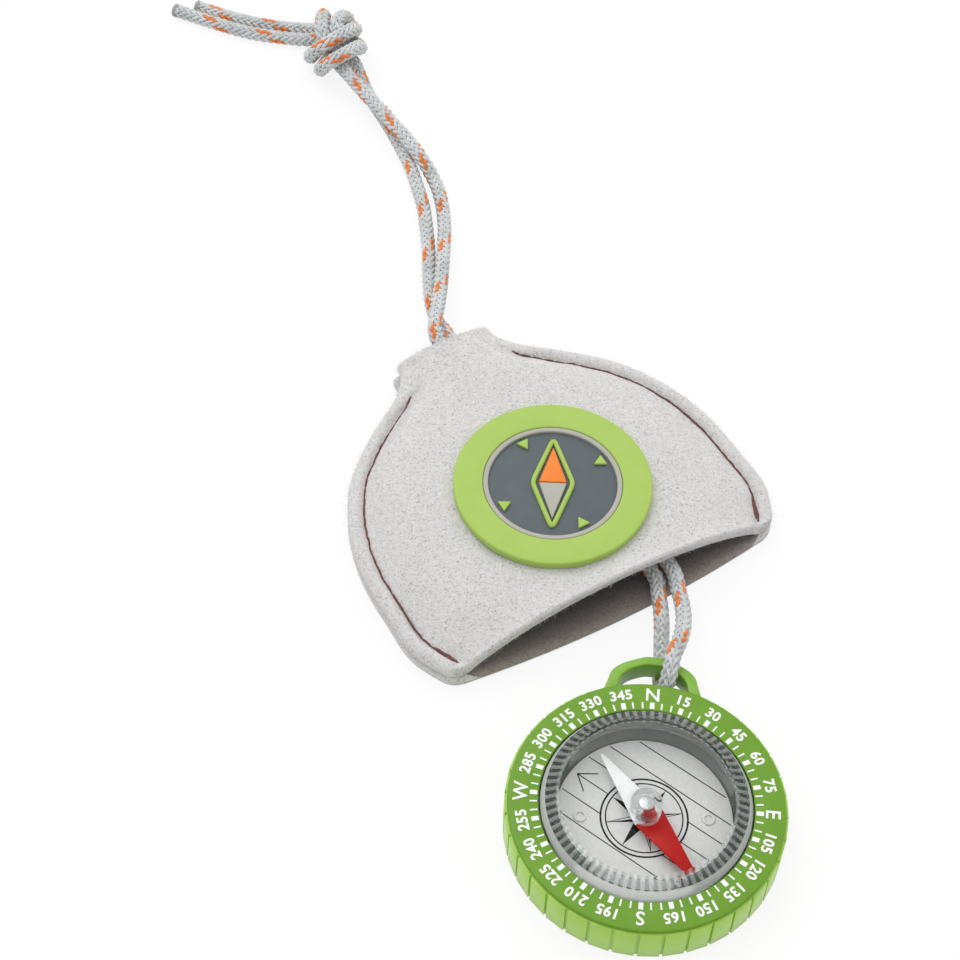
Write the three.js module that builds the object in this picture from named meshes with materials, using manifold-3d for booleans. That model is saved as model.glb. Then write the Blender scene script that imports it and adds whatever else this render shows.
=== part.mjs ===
// Pocket compass on a doubled braided lanyard, with a felt pouch that slides on the lanyard.
// Millimetres, +Z up. The origin is the middle of the compass underside, +Y points to the lanyard loop.
import * as THREE from 'three';
import { mergeGeometries, mergeVertices } from 'three/addons/utils/BufferGeometryUtils.js';
import Module from 'manifold-3d';

const wasm = await Module();
wasm.setup();

// Fits shared by the compass pieces
const RUNNING_GAP = 0.3;
const SEAT_GAP = 0.1;
const ROUND_STEPS = 36;

// Housing ring: radii, then heights
const RING_R = 25;
const RIM_R = 24.5;
const LOOP_WALL_R = 23.4;
const BORE_R = 19;
const FACE_Z = 9.2;
const RIM_T = 0.6;
const UNDERCUT = 0.25;
const EDGE_CHAMFER = 0.4;

// Grip panels round the ring, left out between the feet of the loop
const GRIP_COUNT = 36;
const GRIP_SHARE = 0.87;
const GRIP_DEPTH = 0.4;
const GRIPS_LEFT_OUT = 4;

// Lanyard loop: a band with a low roof in plan
const LOOP_APEX_Y = 31.1;
const LOOP_RIDGE_HALF = 1.5;
const LOOP_SLOPE = 0.4;
const LOOP_SHOULDER_X = 5.6;
const LOOP_HEAD_X = 7.9;
const LOOP_FOOT_X = 9.6;
const LOOP_CORNER = 2.4;
const LOOP_T = 1.5;
const LOOP_Z = 3.7;
const LOOP_H = 4.5;

// Back cover under the ring
const COVER_R = 22;
const COVER_T = 1.4;

// Capsule
const FLANGE_R = 20.2;
const FLANGE_T = 1.4;
const BASE_T = 1.5;
const LENS_WALL_R = BORE_R - RUNNING_GAP;
const LENS_INNER_R = 15.9;
const LENS_TOP_Z = 12;
const WINDOW_T = 1.3;
const BEVEL_R = 17.9;
const BEVEL_Z = 10.7;
const CROWN_R = 16;
const CROWN_EDGE = 0.3;
const RIB_COUNT = 72;
const RIB_GROOVE_W = 0.7;
const RIB_GROOVE_DEPTH = 0.4;
const DIAL_T = 0.5;
const PIN_R = 0.45;
const PIN_TIP_Z = 8.4;

// Needle, turned to where it points
const NEEDLE_BEARING_DEG = 142.2;
const NEEDLE_Z = 5.5;
const NEEDLE_T = 0.4;
const NEEDLE_HALF_L = 13.7;
const NEEDLE_W = 5.9;
const NEEDLE_WIDEST_AT = 1.2;
const RED_TIP_W = 1.75;
const WHITE_TIP_W = 0.6;
const CAP_R = 2.85;
const CAP_H = 4.2;
const CAP_EDGE = 0.7;
const BEARING_R = 1.4;
const BEARING_TOP_Z = 9;
const BEARING_FLANGE_R = 2;
const BEARING_FLANGE_T = 0.3;
const BEARING_BORE_R = 0.85;

// Pouch: its own frame has u across the mouth, v from the mouth to the neck
const POUCH_X = -7.4;
const POUCH_Y = 45.7;
const POUCH_TURN_DEG = 35.5;
const FELT_T = 2.5;
const FELT_GAP = 0.3;
const POUCH_LENGTH = 70;
// Half widths of both panels at distances from the mouth
const POUCH_STATIONS = [0, 8, 18, 30, 42, 51, 58, 63, 66.5, 70];
const POUCH_HALF_WIDTHS = [36, 39.6, 40, 39.3, 35.5, 29.6, 22, 14.6, 11.4, 10.5];
const BACK_LIP_BOW = 2.6;
const FRONT_CROWN = 5.2;
const LIP_FLARE = 2.1;
const LIP_FLARE_LENGTH = 6;
const LIP_ARCH_LENGTH = 14;
const NECK_DIP = 3;
const SEAM_MARGIN = 4.4;
const NECK_MARGIN = 1.6;
const NECK_FROM = 58;
const SEAM_INSET = 3.2;
const SEAM_FROM = 2;
const SEAM_TO = 64;
const SEAM_STEPS = 14;
const THREAD_R = 0.3;
const TOP_GROOVE_R = 0.6;
const UNDER_GROOVE_R = 0.75;

// Badge on the front panel
const BADGE_U = 0.2;
const BADGE_V = 24.8;
const BADGE_R = 19.25;
const BADGE_T = 1.7;
const BADGE_CLEAR = 0.2;
const BADGE_RECESS_R = 13.5;
const BADGE_RECESS_FLOOR = 0.6;
const BADGE_RING_W = 0.9;
const BADGE_RING_H = 0.9;
const BADGE_FIELD_T = 0.4;
const BADGE_RELIEF = 0.6;
const BADGE_EDGE = 0.35;
const POINTER_HALF_L = 8.6;
const POINTER_HALF_W = 2.7;
const POINTER_TURN_DEG = -32;
const POINT_INNER_R = 9.3;
const POINT_OUTER_R = 11.6;
const POINT_HALF_W = 1.3;
const POINT_COUNT = 4;

// Lanyard cord, doubled. Its bight runs round the loop's bar.
const CORD_R = 1.6;
const CORD_SIDES = 8;
const CORD_GAP = 0.3;
const BIGHT_Y = 30.1;
const BIGHT_Z = 6.1;
const BIGHT_R = 4.45;
const BIGHT_TOP_X = 3.2;
const BIGHT_UNDER_X = 1.6;
const BIGHT_STEPS = 8;
const ROUTE_DIVISIONS = 40;

// Route of the cord's right upper stretch, from the knot to the pouch neck
const UPPER_B = [
  [-80.4, 186.6, 5.6], [-74.7, 179.1, 5.3], [-71.2, 175, 5.1], [-68.8, 172.3, 5], [-66.4, 169.3, 5.15],
  [-63.9, 166.2, 5.2], [-61.4, 163.3, 5.1], [-59, 160.3, 4.55], [-56.6, 157.5, 3.6], [-54.6, 155, 2.1],
  [-53, 151.8, 1.75], [-51.5, 146.9, 1.7], [-50.4, 141.1, 1.8], [-49.8, 134.3, 2.7], [-49.4, 127.7, 3.6],
  [-49.1, 121.6, 4.1], [-49, 115.2, 5.2], [-49, 109.5, 6.2], [-48.4, 105.4, 6.2],
];
// Inside the pouch, and on to the underside of the loop's bar
const INNER_B = [
  [-42.5, 96.8, 6.1], [-33.2, 86.3, 5.5], [-21.9, 74.7, 4.8], [-9.9, 62.3, 4.6], [-0.4, 51.2, 4.6],
];
const LOWER_B = [[0.1, 48.5, 4.7], [0.7, 45, 4.8], [1.15, 41, 4.5], [1.4, 37.5, 3.1], [1.6, 34, 1.95]];
// From the top of the bar back into the pouch
const LOWER_A = [[4.3, 34, 9.75], [4.9, 38, 8.75], [4.8, 42.5, 7.5], [3.9, 47.5, 6.5], [2.45, 52.7, 6.25]];
const INNER_A = [[-6.4, 63.6, 5.2], [-17.8, 75.1, 4.4], [-30.6, 88.1, 4.2], [-40.3, 98.4, 4.2]];
// Left upper stretch, from the pouch neck to the knot
const UPPER_A = [
  [-46.2, 107.8, 4.1], [-48.8, 112.9, 2], [-50.7, 118.1, 1.65], [-51.7, 123.5, 1.65], [-52.5, 129.2, 1.65],
  [-53.3, 134.9, 1.65], [-54.4, 140.6, 1.65], [-55.7, 146.4, 1.65], [-57.1, 150.6, 1.65],
  [-60.1, 158.5, 1.65], [-62.1, 162.6, 1.65], [-64.4, 167, 1.65], [-66.2, 170.1, 1.65], [-69.6, 175.7, 1.65],
  [-72.4, 180.6, 1.8],
  [-74.1, 183.9, 2.6], [-76.3, 187.4, 3.8], [-79.2, 190.4, 4.6],
];
const TAIL_A = [
  [-82.5, 197.2, 3.6], [-87.2, 198.8, 2], [-91.5, 199.3, 1.65], [-95.7, 199.4, 1.65], [-102.5, 200.3, 1.65],
  [-109.4, 202.1, 1.65], [-115.6, 204.1, 1.65],
];
const TAIL_B = [
  [-82.5, 194.6, 3.2], [-87.3, 195.4, 2], [-91.9, 195.8, 1.65], [-95.2, 195.9, 1.65], [-101.8, 196.6, 1.65],
  [-108.7, 198.4, 1.65], [-115.8, 200.7, 1.65], [-120.5, 202.3, 1.65],
];

// Knot: two turns round the legs, two lobes above them
const KNOT_X = -80.4;
const KNOT_Y = 189.2;
const KNOT_Z = 5.3;
const KNOT_TURN_DEG = 140;
const KNOT_WRAP_R = 3.65;
const KNOT_TUBE_R = 1.6;
const KNOT_WRAP_PITCH = 3.3;
const KNOT_LOBE_R = 2.9;
const KNOT_LOBE_X = [-83.7, -80.2];
const KNOT_LOBE_Y = 194.6;
const KNOT_LOBE_Z = 4.8;
const KNOT_CORE = [4.6, 6.4, 4];
const KNOT_STUB = 6;

// Stack of the capsule, worked out from the sizes above
const BASE_Z = COVER_T + RUNNING_GAP;
const LENS_Z = BASE_Z + BASE_T;
const LIP_Z = LENS_Z + FLANGE_T + RUNNING_GAP;
const NEEDLE_TOP_Z = NEEDLE_Z + NEEDLE_T;
const FRONT_Z = FELT_T + FELT_GAP;
const FLANGE_TOP_Z = FRONT_Z + FELT_T;
const BADGE_Z = FRONT_Z + FRONT_CROWN + FELT_T + BADGE_CLEAR;

const rad = THREE.MathUtils.degToRad;
const halfWidths = new THREE.CubicInterpolant(
  new Float32Array(POUCH_STATIONS),
  new Float32Array(POUCH_HALF_WIDTHS),
  1,
);

function material(color, roughness, metalness = 0) {
  return new THREE.MeshStandardMaterial({ color, roughness, metalness });
}

function clear(color, roughness) {
  const glass = material(color, roughness);
  glass.transparent = true;
  glass.opacity = 0.35;
  return glass;
}

// A closed geometry as a solid for joining and cutting
function solid(geometry) {
  const bare = geometry.clone();
  bare.deleteAttribute('normal');
  bare.deleteAttribute('uv');
  const merged = mergeVertices(bare, 1e-4);
  return new wasm.Manifold(new wasm.Mesh({
    numProp: 3,
    vertProperties: new Float32Array(merged.attributes.position.array),
    triVerts: new Uint32Array(merged.index.array),
  }));
}

function geometryOf(body) {
  const mesh = body.getMesh();
  const geometry = new THREE.BufferGeometry();
  geometry.setAttribute('position', new THREE.BufferAttribute(mesh.vertProperties, 3));
  geometry.setIndex(new THREE.BufferAttribute(mesh.triVerts, 1));
  geometry.computeVertexNormals();
  return geometry;
}

// Turned piece: pairs of radius and height, revolved about Z
function turned(profile, steps = ROUND_STEPS) {
  const points = profile.map(([r, z]) => new THREE.Vector2(r, z));
  const geometry = new THREE.LatheGeometry(points, steps);
  geometry.rotateX(Math.PI / 2);
  return geometry;
}

function polygon(points) {
  return new THREE.Shape(points.map(([x, y]) => new THREE.Vector2(x, y)));
}

function prism(shape, z, height) {
  const geometry = new THREE.ExtrudeGeometry(shape, { depth: height, bevelEnabled: false, curveSegments: 6 });
  geometry.translate(0, 0, z);
  return geometry;
}

function regular(radius, sides) {
  const points = [];
  for (let i = 0; i < sides; i += 1) {
    const angle = (i + 0.5) * 2 * Math.PI / sides;
    points.push([radius * Math.cos(angle), radius * Math.sin(angle)]);
  }
  return polygon(points);
}

function tube(curve, radius, sides, steps) {
  const options = { steps, extrudePath: curve, bevelEnabled: false };
  return new THREE.ExtrudeGeometry(regular(radius, sides), options);
}

// Part of a longer route, between two distances along it
class Stretch extends THREE.Curve {
  constructor(route, from, to) {
    super();
    this.route = route;
    this.from = from;
    this.to = to;
  }

  getPoint(t, target = new THREE.Vector3()) {
    const along = THREE.MathUtils.lerp(this.from, this.to, t);
    return this.route.getPointAt(along / this.route.getLength(), target);
  }
}

function routeThrough(points) {
  const route = new THREE.CatmullRomCurve3(points.map((p) => new THREE.Vector3(...p)));
  route.arcLengthDivisions = ROUTE_DIVISIONS * (points.length - 1);
  return route;
}

// Distance along a route to each of its points
function distances(route) {
  const lengths = route.getLengths();
  return route.points.map((point, i) => lengths[ROUTE_DIVISIONS * i]);
}

function add(group, name, geometry, look) {
  const mesh = new THREE.Mesh(geometry, look);
  mesh.name = name;
  group.add(mesh);
  return mesh;
}

// Outline of the grip panels seen from above, with a groove at every panel edge
function gripOutline() {
  const pitch = 2 * Math.PI / GRIP_COUNT;
  const half = pitch * GRIP_SHARE / 2;
  const hidden = LOOP_WALL_R - 1;
  const points = [];
  for (let i = 0; i < GRIP_COUNT; i += 1) {
    const middle = Math.PI / 2 + (i + 0.5) * pitch;
    const bare = Math.min(i, GRIP_COUNT - 1 - i) < GRIPS_LEFT_OUT / 2;
    const outer = bare ? hidden : RING_R;
    const groove = bare ? hidden : RING_R - GRIP_DEPTH;
    const corners = [[-half, groove], [-half, outer], [half, outer], [half, groove]];
    const used = bare ? corners.slice(1, 3) : corners;
    for (const [turn, r] of used) {
      points.push([r * Math.cos(middle + turn), r * Math.sin(middle + turn)]);
    }
  }
  return polygon(points);
}

// One edge of the loop in plan, set in from the outer edge
function loopEdge(inset) {
  const ridge = LOOP_APEX_Y - inset;
  const head = LOOP_HEAD_X - inset;
  const foot = LOOP_FOOT_X - inset;
  const inside = LOOP_SHOULDER_X - inset / 2;
  const shoulder = ridge - LOOP_SLOPE * (inside - LOOP_RIDGE_HALF);
  const low = shoulder - LOOP_CORNER;
  const start = LOOP_WALL_R - 2.2;
  const edge = new THREE.Path();
  edge.moveTo(foot, start);
  edge.lineTo(head, low);
  edge.quadraticCurveTo(head, shoulder - LOOP_SLOPE * (head - inside), inside, shoulder);
  edge.lineTo(LOOP_RIDGE_HALF, ridge);
  edge.lineTo(-LOOP_RIDGE_HALF, ridge);
  edge.lineTo(-inside, shoulder);
  edge.quadraticCurveTo(-head, shoulder - LOOP_SLOPE * (head - inside), -head, low);
  edge.lineTo(-foot, start);
  return edge.getPoints(5);
}

function loopBand() {
  const outer = loopEdge(0);
  const inner = loopEdge(LOOP_T).reverse();
  return prism(new THREE.Shape([...outer, ...inner]), LOOP_Z, LOOP_H);
}

function housingRing() {
  const rimZ = FACE_Z - RIM_T;
  const core = turned([
    [0, 0], [LOOP_WALL_R - EDGE_CHAMFER, 0], [LOOP_WALL_R, EDGE_CHAMFER], [LOOP_WALL_R, rimZ], [RIM_R, rimZ],
    [RIM_R, FACE_Z - EDGE_CHAMFER / 2], [RIM_R - EDGE_CHAMFER / 2, FACE_Z], [0, FACE_Z],
  ]);
  const grips = prism(gripOutline(), EDGE_CHAMFER, rimZ - UNDERCUT - EDGE_CHAMFER);
  const coverR = COVER_R + SEAT_GAP;
  const flangeR = FLANGE_R + RUNNING_GAP;
  const bore = turned([
    [0, -1], [coverR, -1], [coverR, COVER_T], [flangeR, COVER_T], [flangeR, LIP_Z], [BORE_R, LIP_Z],
    [BORE_R, FACE_Z + 1], [0, FACE_Z + 1],
  ]);
  const ring = solid(core).add(solid(grips)).add(solid(loopBand())).subtract(solid(bore));
  return geometryOf(ring);
}

function backCover() {
  return turned([[0, 0], [COVER_R, 0], [COVER_R, COVER_T - SEAT_GAP], [0, COVER_T - SEAT_GAP]]);
}

// Grooves between the ribs of the clear rim, cut along its cone
function ribGrooves() {
  const lean = Math.atan2(BEVEL_R - CROWN_R, LENS_TOP_Z - CROWN_EDGE - BEVEL_Z);
  const height = (LENS_TOP_Z - CROWN_EDGE - BEVEL_Z) * 0.8 / Math.cos(lean);
  const reach = 1.2;
  const out = reach / 2 - RIB_GROOVE_DEPTH;
  const radius = (BEVEL_R + CROWN_R) / 2 + out * Math.cos(lean);
  const middle = (BEVEL_Z + LENS_TOP_Z - CROWN_EDGE) / 2 + out * Math.sin(lean);
  const grooves = [];
  for (let i = 0; i < RIB_COUNT; i += 1) {
    const groove = new THREE.BoxGeometry(reach, RIB_GROOVE_W, height);
    groove.rotateY(-lean);
    groove.translate(radius, 0, middle);
    groove.rotateZ((i + 0.5) * 2 * Math.PI / RIB_COUNT);
    grooves.push(groove);
  }
  return mergeGeometries(grooves);
}

function capsuleLens() {
  const windowZ = LENS_TOP_Z - WINDOW_T;
  const lens = turned([
    [0, windowZ], [LENS_INNER_R - CROWN_EDGE, windowZ], [LENS_INNER_R, windowZ - CROWN_EDGE],
    [LENS_INNER_R, LENS_Z], [FLANGE_R, LENS_Z], [FLANGE_R, LENS_Z + FLANGE_T],
    [LENS_WALL_R, LENS_Z + FLANGE_T], [LENS_WALL_R, FACE_Z], [BEVEL_R, BEVEL_Z],
    [CROWN_R, LENS_TOP_Z - CROWN_EDGE], [CROWN_R - CROWN_EDGE, LENS_TOP_Z], [0, LENS_TOP_Z],
  ]);
  return geometryOf(solid(lens).subtract(solid(ribGrooves())));
}

function capsuleBase() {
  const hole = PIN_R + SEAT_GAP;
  const floor = BASE_Z + BASE_T / 3;
  const top = LENS_Z - SEAT_GAP;
  return turned([[0, BASE_Z], [FLANGE_R, BASE_Z], [FLANGE_R, top], [hole, top], [hole, floor], [0, floor]]);
}

function dialCard() {
  const hole = PIN_R + SEAT_GAP;
  const edge = LENS_INNER_R - SEAT_GAP;
  const top = LENS_Z + DIAL_T;
  return turned([[hole, LENS_Z], [edge, LENS_Z], [edge, top], [hole, top], [hole, LENS_Z]]);
}

function pivotPin() {
  const foot = BASE_Z + BASE_T / 3 + SEAT_GAP;
  return turned([[0, foot], [PIN_R, foot], [PIN_R, PIN_TIP_Z - 3 * PIN_R], [0, PIN_TIP_Z]], 10);
}

// Plate with its red end along +X
function needlePlate() {
  const shape = polygon([
    [NEEDLE_HALF_L, -RED_TIP_W / 2], [NEEDLE_HALF_L, RED_TIP_W / 2], [NEEDLE_WIDEST_AT, NEEDLE_W / 2],
    [-NEEDLE_HALF_L, WHITE_TIP_W / 2], [-NEEDLE_HALF_L, -WHITE_TIP_W / 2], [NEEDLE_WIDEST_AT, -NEEDLE_W / 2],
  ]);
  const hole = new THREE.Path();
  hole.absarc(0, 0, BEARING_R + SEAT_GAP, 0, 2 * Math.PI, true);
  shape.holes.push(hole);
  return prism(shape, NEEDLE_Z, NEEDLE_T);
}

function needleBearing() {
  const flangeTop = NEEDLE_Z - SEAT_GAP;
  const foot = flangeTop - BEARING_FLANGE_T;
  return turned([
    [BEARING_BORE_R, foot], [BEARING_FLANGE_R, foot], [BEARING_FLANGE_R, flangeTop], [BEARING_R, flangeTop],
    [BEARING_R, BEARING_TOP_Z], [0, BEARING_TOP_Z], [0, PIN_TIP_Z + SEAT_GAP],
    [BEARING_BORE_R, PIN_TIP_Z - 2 * PIN_R], [BEARING_BORE_R, foot],
  ], 14);
}

function needleCap() {
  const foot = NEEDLE_TOP_Z + SEAT_GAP;
  const top = foot + CAP_H;
  const hole = BEARING_R + SEAT_GAP;
  return turned([
    [hole, foot], [CAP_R, foot], [CAP_R, top - CAP_EDGE], [CAP_R - CAP_EDGE / 3, top - CAP_EDGE / 3],
    [CAP_R - CAP_EDGE, top], [0, top], [0, BEARING_TOP_Z + SEAT_GAP], [hole, BEARING_TOP_Z + SEAT_GAP],
    [hole, foot],
  ], 20);
}

function compass() {
  const group = new THREE.Group();
  const green = 0x8cc34a;
  add(group, 'housing_ring', housingRing(), material(green, 0.45));
  add(group, 'back_cover', backCover(), material(0x6f9f38, 0.5));
  add(group, 'capsule_lens', capsuleLens(), clear(0xf2f5f2, 0.05));
  add(group, 'capsule_base', capsuleBase(), clear(0xe6eae6, 0.1));
  add(group, 'dial_card', dialCard(), material(0xe4e2e2, 0.5));
  add(group, 'pivot_pin', pivotPin(), material(0xb8babd, 0.3, 1));
  const turning = new THREE.Group();
  turning.rotation.z = rad(90 - NEEDLE_BEARING_DEG);
  add(turning, 'needle', needlePlate(), material(0xc01c14, 0.35));
  add(turning, 'needle_bearing', needleBearing(), material(0x8a8c90, 0.35, 1));
  add(turning, 'needle_cap', needleCap(), clear(0xffffff, 0.03));
  group.add(turning);
  return group;
}

function halfWidthAt(v) {
  return halfWidths.evaluate(THREE.MathUtils.clamp(v, 0, POUCH_LENGTH))[0];
}

function edgeSlopeAt(v) {
  const step = 0.25;
  const from = Math.max(v - step, 0);
  const to = Math.min(v + step, POUCH_LENGTH);
  return (halfWidthAt(to) - halfWidthAt(from)) / (to - from);
}

// Half width of the hollow between the panels
function hollowAt(v) {
  const neck = THREE.MathUtils.clamp((v - NECK_FROM) / (POUCH_LENGTH - NECK_FROM), 0, 1);
  const margin = THREE.MathUtils.lerp(SEAM_MARGIN, NECK_MARGIN, neck);
  return halfWidthAt(v) - margin * Math.hypot(1, edgeSlopeAt(v));
}

// Height of the front panel's inner side above the seam: an arch at the mouth, flatter behind it
function crownAt(u, v) {
  const share = Math.min(Math.abs(u) / hollowAt(v), 1);
  const flare = Math.max(0, 1 - v / LIP_FLARE_LENGTH) ** 2;
  const flat = Math.min(v / LIP_ARCH_LENGTH, 1);
  const power = THREE.MathUtils.lerp(2, 5, flat);
  const ease = THREE.MathUtils.lerp(0.8, 1.2, flat);
  return (FRONT_CROWN + LIP_FLARE * flare) * (1 - share ** power) ** ease;
}

// Distance that the front panel's neck edge is cut back in its middle
function neckDipAt(u, v) {
  const along = Math.max(0, (v - NECK_FROM) / (POUCH_LENGTH - NECK_FROM)) ** 2;
  return NECK_DIP * along * (1 - (u / halfWidthAt(v)) ** 2);
}

// Closed plate between two grids of points, rows along v and columns along u
function plate(top, bottom) {
  const rows = top.length;
  const columns = top[0].length;
  const positions = [...top, ...bottom].flat().flat();
  const at = (row, column, under) => (under * rows + row) * columns + column;
  const index = [];
  const quad = (a, b, c, d) => index.push(a, b, c, a, c, d);
  for (let i = 0; i + 1 < rows; i += 1) {
    for (let j = 0; j + 1 < columns; j += 1) {
      quad(at(i, j, 0), at(i, j + 1, 0), at(i + 1, j + 1, 0), at(i + 1, j, 0));
      quad(at(i + 1, j, 1), at(i + 1, j + 1, 1), at(i, j + 1, 1), at(i, j, 1));
    }
    quad(at(i + 1, 0, 0), at(i + 1, 0, 1), at(i, 0, 1), at(i, 0, 0));
    quad(at(i, columns - 1, 0), at(i, columns - 1, 1), at(i + 1, columns - 1, 1), at(i + 1, columns - 1, 0));
  }
  for (let j = 0; j + 1 < columns; j += 1) {
    quad(at(0, j, 0), at(0, j, 1), at(0, j + 1, 1), at(0, j + 1, 0));
    quad(at(rows - 1, j + 1, 0), at(rows - 1, j + 1, 1), at(rows - 1, j, 1), at(rows - 1, j, 0));
  }
  const geometry = new THREE.BufferGeometry();
  geometry.setAttribute('position', new THREE.Float32BufferAttribute(positions, 3));
  geometry.setIndex(index);
  geometry.computeVertexNormals();
  return geometry;
}

// Sewing line along one side of the pouch, at a height
function seamLine(side, z) {
  const points = [];
  for (let i = 0; i <= 12; i += 1) {
    const v = THREE.MathUtils.lerp(SEAM_FROM, SEAM_TO, i / 12);
    const slope = edgeSlopeAt(v);
    const normal = SEAM_INSET / Math.hypot(1, slope);
    points.push(new THREE.Vector3(side * (halfWidthAt(v) - normal), v + normal * slope, z));
  }
  return new THREE.CatmullRomCurve3(points);
}

// Front panel, crowned over the hollow and flared at the mouth
function feltFront(grooves) {
  const lip = [0, 0.25, 0.55].map((share) => share * LIP_FLARE_LENGTH);
  const body = [0, 0.1, 0.2, 0.31, 0.42, 0.53, 0.63, 0.7, 0.76, 0.81, 0.855, 0.89, 0.92, 0.96, 1]
    .map((share) => THREE.MathUtils.lerp(LIP_FLARE_LENGTH, POUCH_LENGTH, share));
  const shares = [0.25, 0.5, 0.68, 0.82, 0.92];
  const top = [];
  const bottom = [];
  for (const v of [...lip, ...body]) {
    const reach = hollowAt(v);
    const right = [...shares.map((share) => share * reach), reach, halfWidthAt(v)];
    const across = [...right.map((u) => -u).reverse(), 0, ...right];
    const inner = across.map((u) => [u, v - neckDipAt(u, v), FRONT_Z + crownAt(u, v)]);
    bottom.push(inner);
    top.push(inner.map(([x, y, z]) => [x, y, z + FELT_T]));
  }
  let panel = solid(plate(top, bottom));
  for (const groove of grooves) {
    panel = panel.subtract(solid(groove));
  }
  return geometryOf(panel);
}

// Back panel, flat on the table, its mouth edge slightly bowed
function feltBack(grooves) {
  const right = [];
  for (let i = 0; i <= 24; i += 1) {
    const v = POUCH_LENGTH * i / 24;
    right.push([halfWidthAt(v), v]);
  }
  const left = right.map(([u, v]) => [-u, v]).reverse();
  const lip = [];
  for (let i = 1; i < 10; i += 1) {
    const share = i / 5 - 1;
    lip.push([share * POUCH_HALF_WIDTHS[0], -BACK_LIP_BOW * (1 - share ** 2)]);
  }
  let panel = solid(prism(polygon([...right, ...left, ...lip]), 0, FELT_T));
  for (const groove of grooves) {
    panel = panel.subtract(solid(groove));
  }
  return geometryOf(panel);
}

function pouch() {
  const group = new THREE.Group();
  group.position.set(POUCH_X, POUCH_Y, 0);
  group.rotation.z = rad(POUCH_TURN_DEG);
  const felt = 0xd7d5d4;
  const thread = material(0x602820, 0.8);
  const topGrooves = [];
  const underGrooves = [];
  for (const [name, side] of [['left', -1], ['right', 1]]) {
    const topZ = FLANGE_TOP_Z - SEAT_GAP;
    add(group, `seam_top_${name}`, tube(seamLine(side, topZ), THREAD_R, 5, SEAM_STEPS), thread.clone());
    add(group, `seam_under_${name}`, tube(seamLine(side, THREAD_R), THREAD_R, 5, SEAM_STEPS), thread.clone());
    topGrooves.push(tube(seamLine(side, FLANGE_TOP_Z), TOP_GROOVE_R, 6, SEAM_STEPS));
    underGrooves.push(tube(seamLine(side, 0), UNDER_GROOVE_R, 6, SEAM_STEPS));
  }
  add(group, 'felt_front', feltFront(topGrooves), material(felt, 0.95));
  add(group, 'felt_back', feltBack(underGrooves), material(felt, 0.95));
  group.add(badge());
  return group;
}

// Round badge: green rim, recessed field, grey ring and a raised pointer with four points round it
function badge() {
  const group = new THREE.Group();
  group.position.set(BADGE_U, BADGE_V, BADGE_Z);
  const green = 0xaed160;
  const grey = 0xa8acb0;
  const orange = 0xf38a2c;
  const body = turned([
    [0, 0], [BADGE_R, 0], [BADGE_R, BADGE_T - BADGE_EDGE], [BADGE_R - BADGE_EDGE, BADGE_T],
    [BADGE_RECESS_R, BADGE_T], [BADGE_RECESS_R, BADGE_RECESS_FLOOR], [0, BADGE_RECESS_FLOOR],
  ]);
  add(group, 'badge_body', body, material(green, 0.5));
  const floor = BADGE_RECESS_FLOOR + SEAT_GAP;
  const ringR = BADGE_RECESS_R - SEAT_GAP;
  const ring = turned([
    [ringR - BADGE_RING_W, floor], [ringR, floor], [ringR, floor + BADGE_RING_H],
    [ringR - BADGE_RING_W, floor + BADGE_RING_H], [ringR - BADGE_RING_W, floor],
  ]);
  add(group, 'badge_ring', ring, material(grey, 0.5));
  const fieldR = ringR - BADGE_RING_W - SEAT_GAP;
  const fieldTop = floor + BADGE_FIELD_T;
  const field = turned([[0, floor], [fieldR, floor], [fieldR, fieldTop], [0, fieldTop]]);
  add(group, 'badge_field', field, material(0x5c656e, 0.6));
  const relief = fieldTop + SEAT_GAP;
  for (const [name, side, colour] of [['orange', 1, orange], ['grey', -1, grey]]) {
    const root = side * SEAT_GAP;
    const half = polygon([[-POINTER_HALF_W, root], [POINTER_HALF_W, root], [0, side * POINTER_HALF_L]]);
    const pointer = prism(half, relief, BADGE_RELIEF);
    pointer.rotateZ(rad(POINTER_TURN_DEG));
    add(group, `badge_pointer_${name}`, pointer, material(colour, 0.5));
  }
  for (let i = 0; i < POINT_COUNT; i += 1) {
    const outline = [[-POINT_HALF_W, POINT_OUTER_R], [0, POINT_INNER_R], [POINT_HALF_W, POINT_OUTER_R]];
    const point = prism(polygon(outline), relief, BADGE_RELIEF);
    point.rotateZ(i * 2 * Math.PI / POINT_COUNT);
    add(group, `badge_point_${i + 1}`, point, material(green, 0.5));
  }
  return group;
}

// Half turn round the loop's bar, from its underside to its top
function bightPoints() {
  const points = [];
  for (let i = 0; i <= BIGHT_STEPS; i += 1) {
    const share = i / BIGHT_STEPS;
    const angle = Math.PI * (1.5 - share);
    const x = THREE.MathUtils.lerp(BIGHT_UNDER_X, BIGHT_TOP_X, share);
    points.push([x, BIGHT_Y + BIGHT_R * Math.cos(angle), BIGHT_Z + BIGHT_R * Math.sin(angle)]);
  }
  return points;
}

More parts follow.
